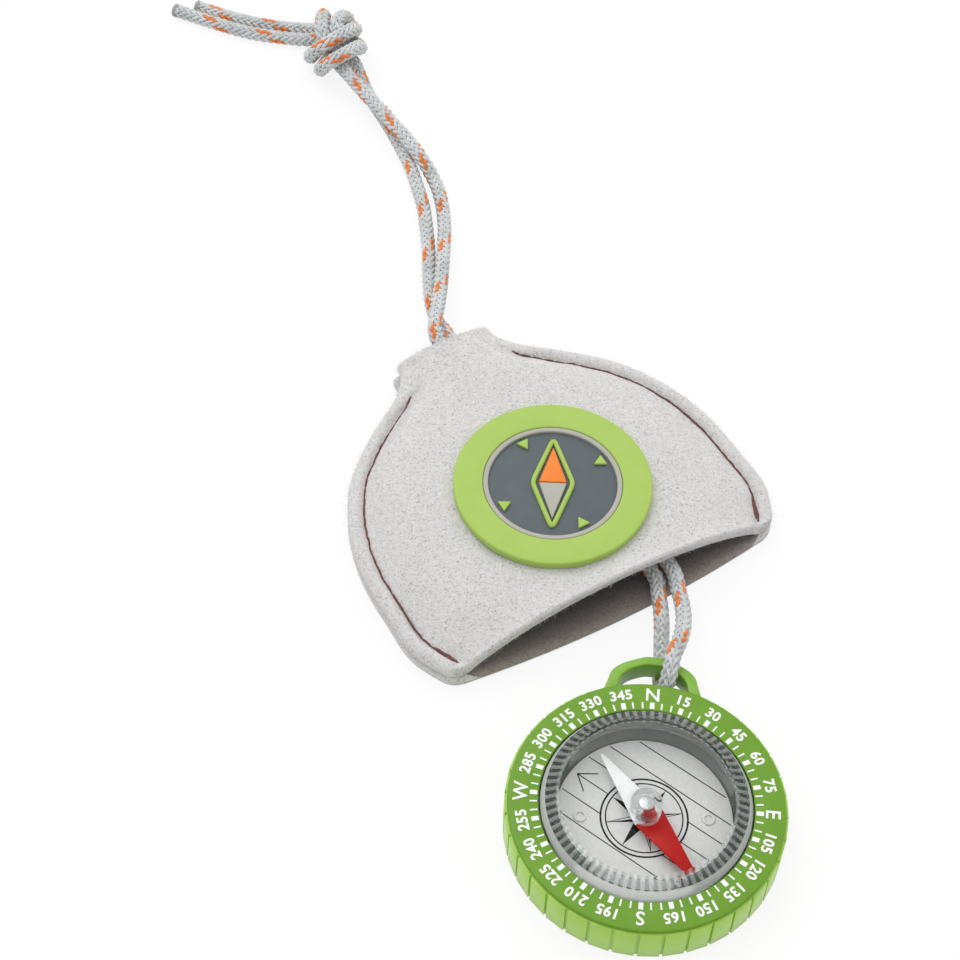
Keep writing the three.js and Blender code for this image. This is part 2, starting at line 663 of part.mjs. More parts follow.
// Doubled overhand knot, as one body with the four stubs of cord that leave it
function knot(stubs) {
  const turn = rad(KNOT_TURN_DEG);
  const parts = [];
  for (const side of [-0.5, 0.5]) {
    const wrap = new THREE.TorusGeometry(KNOT_WRAP_R, KNOT_TUBE_R, 7, 16);
    wrap.rotateY(Math.PI / 2);
    wrap.translate(side * KNOT_WRAP_PITCH, 0, 0);
    wrap.rotateZ(turn);
    wrap.translate(KNOT_X, KNOT_Y, KNOT_Z);
    parts.push(wrap);
  }
  for (const x of KNOT_LOBE_X) {
    const lobe = new THREE.TorusGeometry(KNOT_LOBE_R, KNOT_TUBE_R, 7, 14);
    lobe.rotateY(Math.PI / 2);
    lobe.translate(x, KNOT_LOBE_Y, KNOT_LOBE_Z);
    parts.push(lobe);
  }
  const core = new THREE.SphereGeometry(1, 12, 7);
  core.scale(...KNOT_CORE);
  core.translate((KNOT_X + KNOT_LOBE_X[0]) / 2, (KNOT_Y + KNOT_LOBE_Y) / 2 + 0.6, KNOT_LOBE_Z - 0.4);
  parts.push(core, ...stubs);
  let body = solid(parts[0]);
  for (const part of parts.slice(1)) {
    body = body.add(solid(part));
  }
  return geometryOf(body);
}

function cord() {
  const group = new THREE.Group();
  const look = material(0xbabebe, 0.85);
  const lists = [UPPER_B, INNER_B, LOWER_B, bightPoints(), LOWER_A, INNER_A, UPPER_A];
  const names = ['upper_b', 'inner_b', 'lower_b', 'bight', 'lower_a', 'inner_a', 'upper_a'];
  const steps = [20, 10, 5, 8, 5, 8, 19];
  const route = routeThrough(lists.flat());
  const marks = distances(route);
  const total = marks[marks.length - 1];
  const stubs = [new Stretch(route, 0, KNOT_STUB), new Stretch(route, total - KNOT_STUB, total)];
  let first = 0;
  lists.forEach((list, i) => {
    const last = Math.min(first + list.length, marks.length - 1);
    const from = i === 0 ? KNOT_STUB : marks[first];
    const to = i === lists.length - 1 ? total - KNOT_STUB : marks[last];
    const stretch = new Stretch(route, from + CORD_GAP / 2, to - CORD_GAP / 2);
    add(group, `cord_${names[i]}`, tube(stretch, CORD_R, CORD_SIDES, steps[i]), look.clone());
    first = last;
  });
  for (const [name, list] of [['tail_a', TAIL_A], ['tail_b', TAIL_B]]) {
    const tail = routeThrough(list);
    const end = tail.getLength();
    stubs.push(new Stretch(tail, 0, KNOT_STUB));
    const free = new Stretch(tail, KNOT_STUB + CORD_GAP, end);
    add(group, `cord_${name}`, tube(free, CORD_R, CORD_SIDES, 6), look.clone());
  }
  const ends = stubs.map((stub) => tube(stub, CORD_R, CORD_SIDES, 2));
  add(group, 'cord_knot', knot(ends), look.clone());
  return group;
}

const part = new THREE.Group();
part.add(compass(), pouch(), cord());

export default part;
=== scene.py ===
"""Pocket compass on a doubled braided lanyard, with a felt pouch that slides on the lanyard.

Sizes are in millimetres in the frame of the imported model. Form.make writes them as metres.
"""

import logging
import math
from dataclasses import dataclass
from enum import Enum
from functools import cache
from typing import Callable, Sequence

import bmesh
import bpy
import numpy as np
from mathutils import Matrix, Vector


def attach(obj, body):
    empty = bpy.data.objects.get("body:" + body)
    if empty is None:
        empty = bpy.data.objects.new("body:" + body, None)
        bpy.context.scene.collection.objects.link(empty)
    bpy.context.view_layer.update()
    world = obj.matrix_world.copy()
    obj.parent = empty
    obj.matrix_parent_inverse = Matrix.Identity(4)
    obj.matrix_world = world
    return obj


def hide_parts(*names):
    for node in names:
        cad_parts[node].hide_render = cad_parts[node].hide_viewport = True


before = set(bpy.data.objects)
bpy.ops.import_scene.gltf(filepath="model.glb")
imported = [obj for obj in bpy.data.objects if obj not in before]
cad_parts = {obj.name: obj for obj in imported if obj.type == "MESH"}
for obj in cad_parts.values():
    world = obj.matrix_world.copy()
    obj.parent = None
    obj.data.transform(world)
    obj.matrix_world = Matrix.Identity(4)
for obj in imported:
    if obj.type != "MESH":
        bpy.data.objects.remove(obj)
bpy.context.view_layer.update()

LOG = logging.getLogger("compass")
MM = 0.001
SEED = 11
Array = np.ndarray
Material = bpy.types.Material
Piece = bpy.types.Object
Socket = bpy.types.NodeSocket
Faces = Sequence[Sequence[int]]
Mesh = tuple[Array, Faces]
Pair = tuple[float, float]
Triple = tuple[float, float, float]
Corner = Triple
Outline = tuple[Corner, ...]
Colour = tuple[int, int, int]


class Body(Enum):
    """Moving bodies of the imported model."""

    CORD = "cord"
    COMPASS = "compass"
    CAPSULE = "capsule"
    NEEDLE = "needle"
    POUCH = "pouch"


class Slot(Enum):
    """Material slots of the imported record."""

    GREEN_PLASTIC = "green_plastic"
    CLEAR_PLASTIC = "clear_plastic"
    DIAL_PRINT = "dial_print"
    STEEL = "steel"
    NEEDLE_PAINT = "needle_paint"
    FELT = "felt"
    THREAD = "thread"
    BADGE_GREEN = "badge_green"
    BADGE_SLATE = "badge_slate"
    BADGE_GREY = "badge_grey"
    BADGE_ORANGE = "badge_orange"
    CORD = "cord"


class Side(Enum):
    """Left and right sides of the pouch."""

    LEFT = -1
    RIGHT = 1


class Lay(Enum):
    """The two turning directions of the yarns in the braid."""

    S = 1
    Z = -1


def linear(colour: Colour) -> tuple[float, float, float, float]:
    """Turn a colour as it is seen into shader values.

    Args:
        colour: Red, green and blue from 0 to 255.

    Returns:
        Linear red, green, blue and alpha.
    """
    shares = [c / 255 for c in colour]
    values = [s / 12.92 if s <= 0.04045 else ((s + 0.055) / 1.055) ** 2.4 for s in shares]
    return (values[0], values[1], values[2], 1.0)


def new_node(tree: bpy.types.NodeTree, kind: str, values: dict[str | int, object] | None = None,
             links: dict[str | int, Socket] | None = None) -> bpy.types.Node:
    """Add a node to a shader tree.

    Args:
        tree: The tree.
        kind: Type of the node, without its prefix.
        values: Constants of its inputs.
        links: Sockets that feed its other inputs.

    Returns:
        The node.
    """
    node = tree.nodes.new("ShaderNode" + kind)
    for key, value in (values or {}).items():
        node.inputs[key].default_value = value
    for key, source in (links or {}).items():
        tree.links.new(source, node.inputs[key])
    return node


class Shader:
    """Node tree of one procedural material."""

    def __init__(self, name: str) -> None:
        """Make an empty material with one surface shader.

        Args:
            name: The material's name.
        """
        self.material = bpy.data.materials.new(name)
        self.material.use_nodes = True
        self.tree = self.material.node_tree
        self.surface = self.tree.nodes["Principled BSDF"]

    def constants(self, values: dict[str, object]) -> None:
        """Set values that are the same all over the surface on the shader's own sockets."""
        for socket, value in values.items():
            self.surface.inputs[socket].default_value = value

    def link(self, source: Socket, target: Socket) -> None:
        """Join two sockets."""
        self.tree.links.new(source, target)

    def place(self, stretch: Sequence[float] = (1, 1, 1), uv: bool = False) -> Socket:
        """Coordinates for a texture.

        Args:
            stretch: Factor along each axis.
            uv: Whether the mesh's own strip coordinates are used instead of its place.

        Returns:
            The vector socket.
        """
        source = new_node(self.tree, "TexCoord").outputs["UV" if uv else "Object"]
        return new_node(self.tree, "Mapping", {"Scale": stretch}, {"Vector": source}).outputs["Vector"]

    def along(self, place: Socket) -> Socket:
        """Second part of some coordinates."""
        return new_node(self.tree, "SeparateXYZ", None, {"Vector": place}).outputs["Y"]

    def noise(self, place: Socket, grain: float, detail: float = 4, rough: float = 0.6,
              twist: float = 0) -> Socket:
        """Cloudy texture.

        Args:
            place: Coordinates.
            grain: Size of a cloud in millimetres.
            detail: Octaves.
            rough: Share of the finer octaves.
            twist: Distortion.

        Returns:
            The texture's value socket.
        """
        values = {"Scale": 1 / (grain * MM), "Detail": detail, "Roughness": rough, "Distortion": twist}
        return new_node(self.tree, "TexNoise", values, {"Vector": place}).outputs["Fac"]

    def ramp(self, value: Socket, stops: Sequence[tuple[float, Colour]]) -> Socket:
        """Colours along a value.

        Args:
            value: The value socket.
            stops: Place and colour of each stop.

        Returns:
            The colour socket.
        """
        node = new_node(self.tree, "ValToRGB", None, {"Fac": value})
        while len(node.color_ramp.elements) < len(stops):
            node.color_ramp.elements.new(0.5)
        for element, (at, colour) in zip(node.color_ramp.elements, stops):
            element.position = at
            element.color = linear(colour)
        return node.outputs["Color"]

    def mix(self, first: Socket, second: Socket, share: float, way: str = "MIX") -> Socket:
        """Mix two colours.

        Args:
            first: The colour below.
            second: The colour above.
            share: Share of the second colour.
            way: Blend type.

        Returns:
            The mixed colour socket.
        """
        node = new_node(self.tree, "Mix")
        node.data_type = "RGBA"
        node.blend_type = way
        node.inputs[0].default_value = share
        self.link(first, node.inputs[6])
        self.link(second, node.inputs[7])
        return node.outputs[2]

    def bump(self, *heights: tuple[Socket, float]) -> None:
        """Relief on the surface.

        Args:
            heights: Value sockets, each with its depth in millimetres.
        """
        links: dict[str | int, Socket] = {}
        for height, depth in heights:
            node = new_node(self.tree, "Bump", {"Distance": depth * MM}, {**links, "Height": height})
            links = {"Normal": node.outputs["Normal"]}
        self.link(links["Normal"], self.surface.inputs["Normal"])

    def colour(self, socket: Socket) -> None:
        """Use a colour socket for the surface."""
        self.link(socket, self.surface.inputs["Base Color"])

    def roughness(self, value: Socket, low: float, high: float) -> None:
        """Vary the gloss between two roughness values."""
        node = new_node(self.tree, "MapRange", {"To Min": low, "To Max": high}, {"Value": value})
        self.link(node.outputs["Result"], self.surface.inputs["Roughness"])


@dataclass(frozen=True)
class MouldedPlastic:
    """Injection-moulded plastic or soft rubber with faint flow marks and a fine grain."""

    name: str
    light: Colour
    dark: Colour
    gloss: Pair = (0.3, 0.42)
    grain: float = 0.25
    grain_depth: float = 0.006
    specular: float = 0.5

    def material(self) -> Material:
        """Build the node material.

        Returns:
            The material.
        """
        shader = Shader(self.name)
        place = shader.place()
        clouds = shader.noise(place, 6, 3)
        fine = shader.noise(place, self.grain, 3)
        shader.colour(shader.ramp(clouds, [(0.3, self.dark), (0.7, self.light)]))
        shader.roughness(fine, *self.gloss)
        shader.constants({"Specular IOR Level": self.specular})
        shader.bump((clouds, 0.05), (fine, self.grain_depth))
        return shader.material


@dataclass(frozen=True)
class ClearPlastic:
    """Clear moulded acrylic with faint waves in its surface."""

    name: str
    tint: Colour
    rough: float
    wave_depth: float
    ior: float
    clearness: float = 1.0

    def material(self) -> Material:
        """Build the node material.

        Returns:
            The material.
        """
        shader = Shader(self.name)
        waves = shader.noise(shader.place(), 5, 2)
        shader.constants({
            "Base Color": linear(self.tint),
            "Roughness": self.rough,
            "IOR": self.ior,
            "Transmission Weight": self.clearness,
        })
        shader.bump((waves, self.wave_depth))
        return shader.material


@dataclass(frozen=True)
class Paint:
    """Paint or print with a slight mottle."""

    name: str
    colour: Colour
    mottle: Colour
    rough: Pair = (0.35, 0.5)
    depth: float = 0.004
    specular: float = 0.2

    def material(self) -> Material:
        """Build the node material.

        Returns:
            The material.
        """
        shader = Shader(self.name)
        fine = shader.noise(shader.place(), 0.6, 4)
        shader.colour(shader.ramp(fine, [(0.35, self.mottle), (0.65, self.colour)]))
        shader.roughness(fine, *self.rough)
        shader.constants({"Specular IOR Level": self.specular})
        shader.bump((fine, self.depth))
        return shader.material


@dataclass(frozen=True)
class TurnedMetal:
    """Bright turned metal with fine marks round its axis."""

    name: str
    colour: Colour = (190, 192, 196)

    def material(self) -> Material:
        """Build the node material.

        Returns:
            The material.
        """
        shader = Shader(self.name)
        marks = shader.noise(shader.place((1, 1, 12)), 0.8, 5)
        dark = tuple(int(c * 0.8) for c in self.colour)
        shader.colour(shader.ramp(marks, [(0.3, dark), (0.7, self.colour)]))
        shader.roughness(marks, 0.18, 0.34)
        shader.constants({"Metallic": 1.0})
        shader.bump((marks, 0.003))
        return shader.material


@dataclass(frozen=True)
class WoolFelt:
    """Pressed wool felt: pale grey fibres with darker ones among them."""

    name: str
    light: Colour = (233, 232, 231)
    middle: Colour = (218, 216, 215)
    dark: Colour = (168, 164, 163)
    # Distance in millimetres from the open end over which the colour darkens, as painted shade; 0 for none.
    painted_shade_depth: float = 0

    def material(self) -> Material:
        """Build the node material.

        Returns:
            The material.
        """
        shader = Shader(self.name)
        place = shader.place()
        clouds = shader.noise(place, 7, 3)
        tufts = shader.noise(place, 0.9, 6, 0.7, 0.8)
        along = shader.noise(shader.place((1, 0.22, 0.6)), 0.32, 5, 0.65, 1.2)
        across = shader.noise(shader.place((0.22, 1, 0.6)), 0.34, 5, 0.65, 1.2)
        base = shader.ramp(tufts, [(0.3, self.dark), (0.44, self.middle), (0.62, self.light)])
        fibres = shader.ramp(along, [(0.28, self.dark), (0.42, self.middle), (0.6, self.light)])
        others = shader.ramp(across, [(0.28, self.dark), (0.42, self.middle), (0.6, self.light)])
        cast = shader.ramp(clouds, [(0.35, self.middle), (0.65, self.light)])
        specks = shader.noise(place, 0.42, 2, 0.5, 0.5)
        fleck = shader.ramp(specks, [(0.34, self.dark), (0.44, self.light)])
        mixed = shader.mix(shader.mix(fibres, others, 0.5), base, 0.45)
        toned = shader.mix(mixed, cast, 0.2)
        flecked = shader.mix(toned, fleck, 0.7, "DARKEN")
        # Painted shade: the colour darkens with depth from the open end.
        if self.painted_shade_depth:
            depth = shader.along(shader.place((1, 1 / self.painted_shade_depth, 1), True))
            shade = shader.ramp(depth, [
                (0, (255, 255, 255)), (0.35, (180, 180, 180)), (0.7, (124, 124, 124)), (1, (92, 92, 92))])
            flecked = shader.mix(flecked, shade, 1, "MULTIPLY")
        shader.colour(flecked)
        shader.constants({
            "Roughness": 0.95,
            "Specular IOR Level": 0.15,
            "Sheen Weight": 0.25,
            "Sheen Roughness": 0.5,
        })
        shader.bump((tufts, 0.3), (along, 0.14), (across, 0.14))
        return shader.material


@dataclass(frozen=True)
class Yarn:
    """Twisted polyester yarn, with fibres along its strip coordinates."""

    name: str
    light: Colour
    dark: Colour
    sheen: float = 0.2

    def material(self) -> Material:
        """Build the node material.

        Returns:
            The material.
        """
        shader = Shader(self.name)
        fibres = shader.noise(shader.place((0.0016, 0.0002, 1), True), 0.22, 3)
        soil = shader.noise(shader.place(), 3, 3)
        fibre_colour = shader.ramp(fibres, [(0.3, self.dark), (0.6, self.light)])
        soil_colour = shader.ramp(soil, [(0.35, self.dark), (0.55, self.light)])
        shader.colour(shader.mix(fibre_colour, soil_colour, 0.35))
        shader.constants({
            "Roughness": 0.45,
            "Specular IOR Level": 0.5,
            "Sheen Weight": self.sheen,
        })
        shader.bump((fibres, 0.05))
        return shader.material


Finish = MouldedPlastic | ClearPlastic | Paint | TurnedMetal | WoolFelt | Yarn


@cache
def material_of(finish: Finish) -> Material:
    """Material of a finish, made once."""
    return finish.material()


class Form:
    """Vertices in millimetres and faces that become one mesh object."""

    def __init__(self) -> None:
        """Start with nothing in the form."""
        self.blocks: list[Array] = []
        self.faces: list[tuple[int, ...]] = []
        self.slots: list[int] = []
        self.strips: list[Array] = []
        self.count = 0

    def add(self, mesh: Mesh, slot: int | Sequence[int] = 0, strip: Array | None = None) -> "Form":
        """Add a piece of mesh.

        Args:
            mesh: Its vertices and faces.
            slot: Index of its material, or one for each face.
            strip: Strip coordinates of its vertices.

        Returns:
            This form.
        """
        verts = np.asarray(mesh[0], float).reshape(-1, 3)
        faces = [tuple(int(i) + self.count for i in face) for face in mesh[1]]
        self.blocks.append(verts)
        self.faces.extend(faces)
        self.slots.extend([slot] * len(faces) if isinstance(slot, int) else slot)
        self.strips.append(np.zeros((len(verts), 2)) if strip is None else strip)
        self.count += len(verts)
        return self

    def make(self, name: str, *finishes: Finish, sharp: float = 35, merge: bool = True) -> Piece:
        """Make the mesh object.

        Args:
            name: Its name.
            finishes: Its finishes, in the order of the slots.
            sharp: Angle in degrees above which an edge stays sharp.
            merge: Whether vertices in one place are joined and the faces turned outwards.

        Returns:
            The new object.
        """
        mesh = bpy.data.meshes.new(name)
        mesh.from_pydata((np.vstack(self.blocks) * MM).tolist(), [], self.faces)
        for finish in finishes:
            mesh.materials.append(material_of(finish))
        mesh.polygons.foreach_set("material_index", self.slots)
        loops = np.zeros(len(mesh.loops), np.int32)
        mesh.loops.foreach_get("vertex_index", loops)
        layer = mesh.uv_layers.new(name="strip")
        layer.data.foreach_set("uv", np.vstack(self.strips)[loops].ravel())
        if merge:
            shell = bmesh.new()
            shell.from_mesh(mesh)
            bmesh.ops.remove_doubles(shell, verts=shell.verts, dist=1e-6)
            bmesh.ops.recalc_face_normals(shell, faces=shell.faces)
            shell.to_mesh(mesh)
            shell.free()
        mesh.shade_smooth()
        mesh.set_sharp_from_angle(angle=math.radians(sharp))
        piece = bpy.data.objects.new(name, mesh)
        bpy.context.scene.collection.objects.link(piece)
        return piece


def dress(piece: Piece, body: Body, slot: Slot, *nodes: str) -> Piece:
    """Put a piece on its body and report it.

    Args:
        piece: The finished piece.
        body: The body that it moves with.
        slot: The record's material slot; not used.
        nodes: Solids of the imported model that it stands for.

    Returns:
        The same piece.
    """
    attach(piece, body.value)
    if nodes:
        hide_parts(*nodes)
    LOG.info("%s: %d faces on %s", piece.name, len(piece.data.polygons), body.value)
    return piece


def finish_node(node: str, finish: Finish) -> None:
    """Give a solid that stays in view its finish."""
    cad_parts[node].material_slots[0].material = material_of(finish)
    LOG.info("%s: kept with %s", node, finish.name)


def soften(piece: Piece, width: float, segments: int = 2, angle: float = 40) -> Piece:
    """Round the sharp edges of a piece.

    Args:
        piece: The piece, which isn't riding on a body yet.
        width: Width of the rounding in millimetres.
        segments: Steps across it.
        angle: Edges sharper than this, in degrees, are rounded.

    Returns:
        The same piece with a new mesh.
    """
    edge = piece.modifiers.new("edge", "BEVEL")
    edge.width = width * MM
    edge.segments = segments
    edge.limit_method = "ANGLE"
    edge.angle_limit = math.radians(angle)
    graph = bpy.context.evaluated_depsgraph_get()
    mesh = bpy.data.meshes.new_from_object(piece.evaluated_get(graph))
    piece.modifiers.clear()
    piece.data = mesh
    mesh.shade_smooth()
    mesh.set_sharp_from_angle(angle=math.radians(30))
    return piece


def grid_faces(rows: int, columns: int, closed: bool = False) -> list[tuple[int, int, int, int]]:
    """Faces of a grid of vertices.

    Args:
        rows: Number of rows.
        columns: Vertices in a row.
        closed: Whether each row joins its own end.

    Returns:
        The faces as vertex indices.
    """
    faces = []
    for i in range(rows - 1):
        for j in range(columns if closed else columns - 1):
            k = (j + 1) % columns
            faces.append((i * columns + j, i * columns + k, (i + 1) * columns + k, (i + 1) * columns + j))
    return faces


def fillet(corners: Sequence[Corner], segments: int = 3) -> Array:
    """Round the corners of a closed outline.

    Args:
        corners: Two coordinates and a rounding radius for each corner.
        segments: Steps across a rounding.

    Returns:
        The outline's points.
    """
    points = []
    places = np.array([corner[:2] for corner in corners], float)
    for i, (_, _, radius) in enumerate(corners):
        here = places[i]
        before = places[i - 1] - here
        after = places[(i + 1) % len(corners)] - here
        if radius <= 0:
            points.append(here)
            continue
        reach = min(radius, 0.48 * np.linalg.norm(before), 0.48 * np.linalg.norm(after))
        start = here + before / np.linalg.norm(before) * reach
        end = here + after / np.linalg.norm(after) * reach
        for t in np.linspace(0, 1, segments + 1):
            points.append((1 - t) ** 2 * start + 2 * t * (1 - t) * here + t * t * end)
    return np.array(points)


def lathe(outline: Array, steps: int, wave: Callable[[Array, float], Array] | None = None) -> Mesh:
    """Revolve a closed outline about Z.

    Args:
        outline: Radius and height of each point.
        steps: Steps round the axis.
        wave: Gives the outline at one angle.

    Returns:
        Vertices and faces.
    """
    rings = []
    for angle in np.arange(steps) * 2 * math.pi / steps:
        shape = outline if wave is None else wave(outline, angle)
        radius, height = shape.T
        rings.append(np.column_stack([radius * math.cos(angle), radius * math.sin(angle), height]))
    count = len(outline)
    faces = []
    for i in range(steps):
        k = (i + 1) % steps
        for j in range(count):
            n = (j + 1) % count
            if outline[j, 0] < 1e-6 and outline[n, 0] < 1e-6:
                continue
            faces.append((i * count + j, k * count + j, k * count + n, i * count + n))
    return np.vstack(rings), faces


def prism(outline: Array, low: float, high: float) -> Mesh:
    """Plate with upright walls.

    Args:
        outline: Points in plan, anticlockwise.
        low: Height of its underside.
        high: Height of its top.

    Returns:
        Vertices and faces.
    """
    count = len(outline)
    under = np.column_stack([outline, np.full(count, low)])
    over = np.column_stack([outline, np.full(count, high)])
    faces: list[tuple[int, ...]] = [tuple(range(count - 1, -1, -1)), tuple(range(count, 2 * count))]
    faces += [(j, (j + 1) % count, count + (j + 1) % count, count + j) for j in range(count)]
    return np.vstack([under, over]), faces


def turning(name: str, corners: Sequence[Corner], steps: int, *finishes: Finish, segments: int = 3) -> Piece:
    """Turned piece whose outline has rounded corners."""
    return Form().add(lathe(fillet(corners, segments), steps)).make(name, *finishes)


def turned(points: Array, degrees: float, shift: Sequence[float] = (0, 0)) -> Array:
    """Turn points about Z and move them in plan.

    Args:
        points: Points in plan or in space.
        degrees: Angle, anticlockwise.
        shift: Move in plan after the turn.

    Returns:
        The moved points.
    """
    angle = math.radians(degrees)
    matrix = np.array([[math.cos(angle), -math.sin(angle)], [math.sin(angle), math.cos(angle)]])
    result = np.array(points, float)
    result[:, :2] = result[:, :2] @ matrix.T + np.array(shift)
    return result


def lettering(text: str, height: float, depth: float, bold: float) -> Mesh:
    """Raised figures or a letter, centred on the origin with the base at height 0.

    Args:
        text: What is written.
        height: Height of the figures.
        depth: How far they stand up.
        bold: How much their strokes are widened.

    Returns:
        Vertices and faces.
    """
    curve = bpy.data.curves.new("figures", "FONT")
    curve.body = text
    curve.size = height / 0.7
    curve.extrude = depth / 2
    curve.offset = bold
    curve.resolution_u = 3
    curve.space_character = 1.06
    holder = bpy.data.objects.new("figures", curve)
    bpy.context.scene.collection.objects.link(holder)
    graph = bpy.context.evaluated_depsgraph_get()
    mesh = bpy.data.meshes.new_from_object(holder.evaluated_get(graph))
    verts = np.array([vertex.co for vertex in mesh.vertices], float)
    faces = [tuple(face.vertices) for face in mesh.polygons]
    bpy.data.objects.remove(holder)
    bpy.data.curves.remove(curve)
    bpy.data.meshes.remove(mesh)
    low, high = verts.min(0), verts.max(0)
    verts[:, :2] -= (low[:2] + high[:2]) / 2
    verts[:, :2] *= height / (high[1] - low[1])
    verts[:, 2] -= low[2]
    return verts, faces


def spline(points: Array, step: float) -> Array:
    """Smooth line through points, in even steps.

    Args:
        points: The points that it passes through.
        step: Distance between the points of the line.

    Returns:
        Points along the line.
    """
    padded = np.vstack([2 * points[0] - points[1], points, 2 * points[-1] - points[-2]])
    dense = []
    for i in range(1, len(padded) - 2):
        p0, p1, p2, p3 = padded[i - 1:i + 3]
        d0, d1, d2 = (max(np.linalg.norm(b - a) ** 0.5, 1e-4) for a, b in ((p0, p1), (p1, p2), (p2, p3)))
        m1 = ((p1 - p0) / d0 - (p2 - p0) / (d0 + d1) + (p2 - p1) / d1) * d1
        m2 = ((p2 - p1) / d1 - (p3 - p1) / (d1 + d2) + (p3 - p2) / d2) * d1
        for t in np.linspace(0, 1, 40, endpoint=False):
            dense.append((2 * t**3 - 3 * t**2 + 1) * p1 + (t**3 - 2 * t**2 + t) * m1
                         + (3 * t**2 - 2 * t**3) * p2 + (t**3 - t**2) * m2)
    dense.append(points[-1])
    line = np.array(dense)
    along = np.concatenate([[0], np.cumsum(np.linalg.norm(np.diff(line, axis=0), axis=1))])
    even = np.linspace(0, along[-1], max(2, round(along[-1] / step) + 1))
    return np.column_stack([np.interp(even, along, line[:, k]) for k in range(3)])


def carried_frames(line: Array) -> tuple[Array, Array, Array]:
    """Directions along and across a line, carried along it without twist.

    Args:
        line: Points along the line.

    Returns:
        Tangents, first and second cross directions.
    """
    tangents = np.gradient(line, axis=0)
    tangents /= np.linalg.norm(tangents, axis=1)[:, None]
    across = np.zeros_like(line)
    start = np.cross(tangents[0], [0, 0, 1])
    across[0] = start / np.linalg.norm(start)
    for i in range(1, len(line)):
        carried = across[i - 1] - tangents[i] * np.dot(across[i - 1], tangents[i])
        across[i] = carried / np.linalg.norm(carried)
    return tangents, across, np.cross(tangents, across)


def rod(line: Array, radius: Array | float, sides: int) -> Mesh:
    """Round rod along a line, closed at both ends.

    Args:
        line: Points along it.
        radius: One radius, or one for each point.
        sides: Sides of its section.

    Returns:
        Vertices and faces.
    """
    _, across, up = carried_frames(line)
    sizes = np.broadcast_to(np.asarray(radius, float), (len(line),))
    rings = []
    for k in range(sides):
        angle = 2 * math.pi * k / sides
        rings.append(line + sizes[:, None] * (across * math.cos(angle) + up * math.sin(angle)))
    verts = np.stack(rings, axis=1).reshape(-1, 3)
    faces: list[tuple[int, ...]] = list(grid_faces(len(line), sides, True))
    last = (len(line) - 1) * sides
    faces += [tuple(range(sides - 1, -1, -1)), tuple(range(last, last + sides))]
    return verts, faces


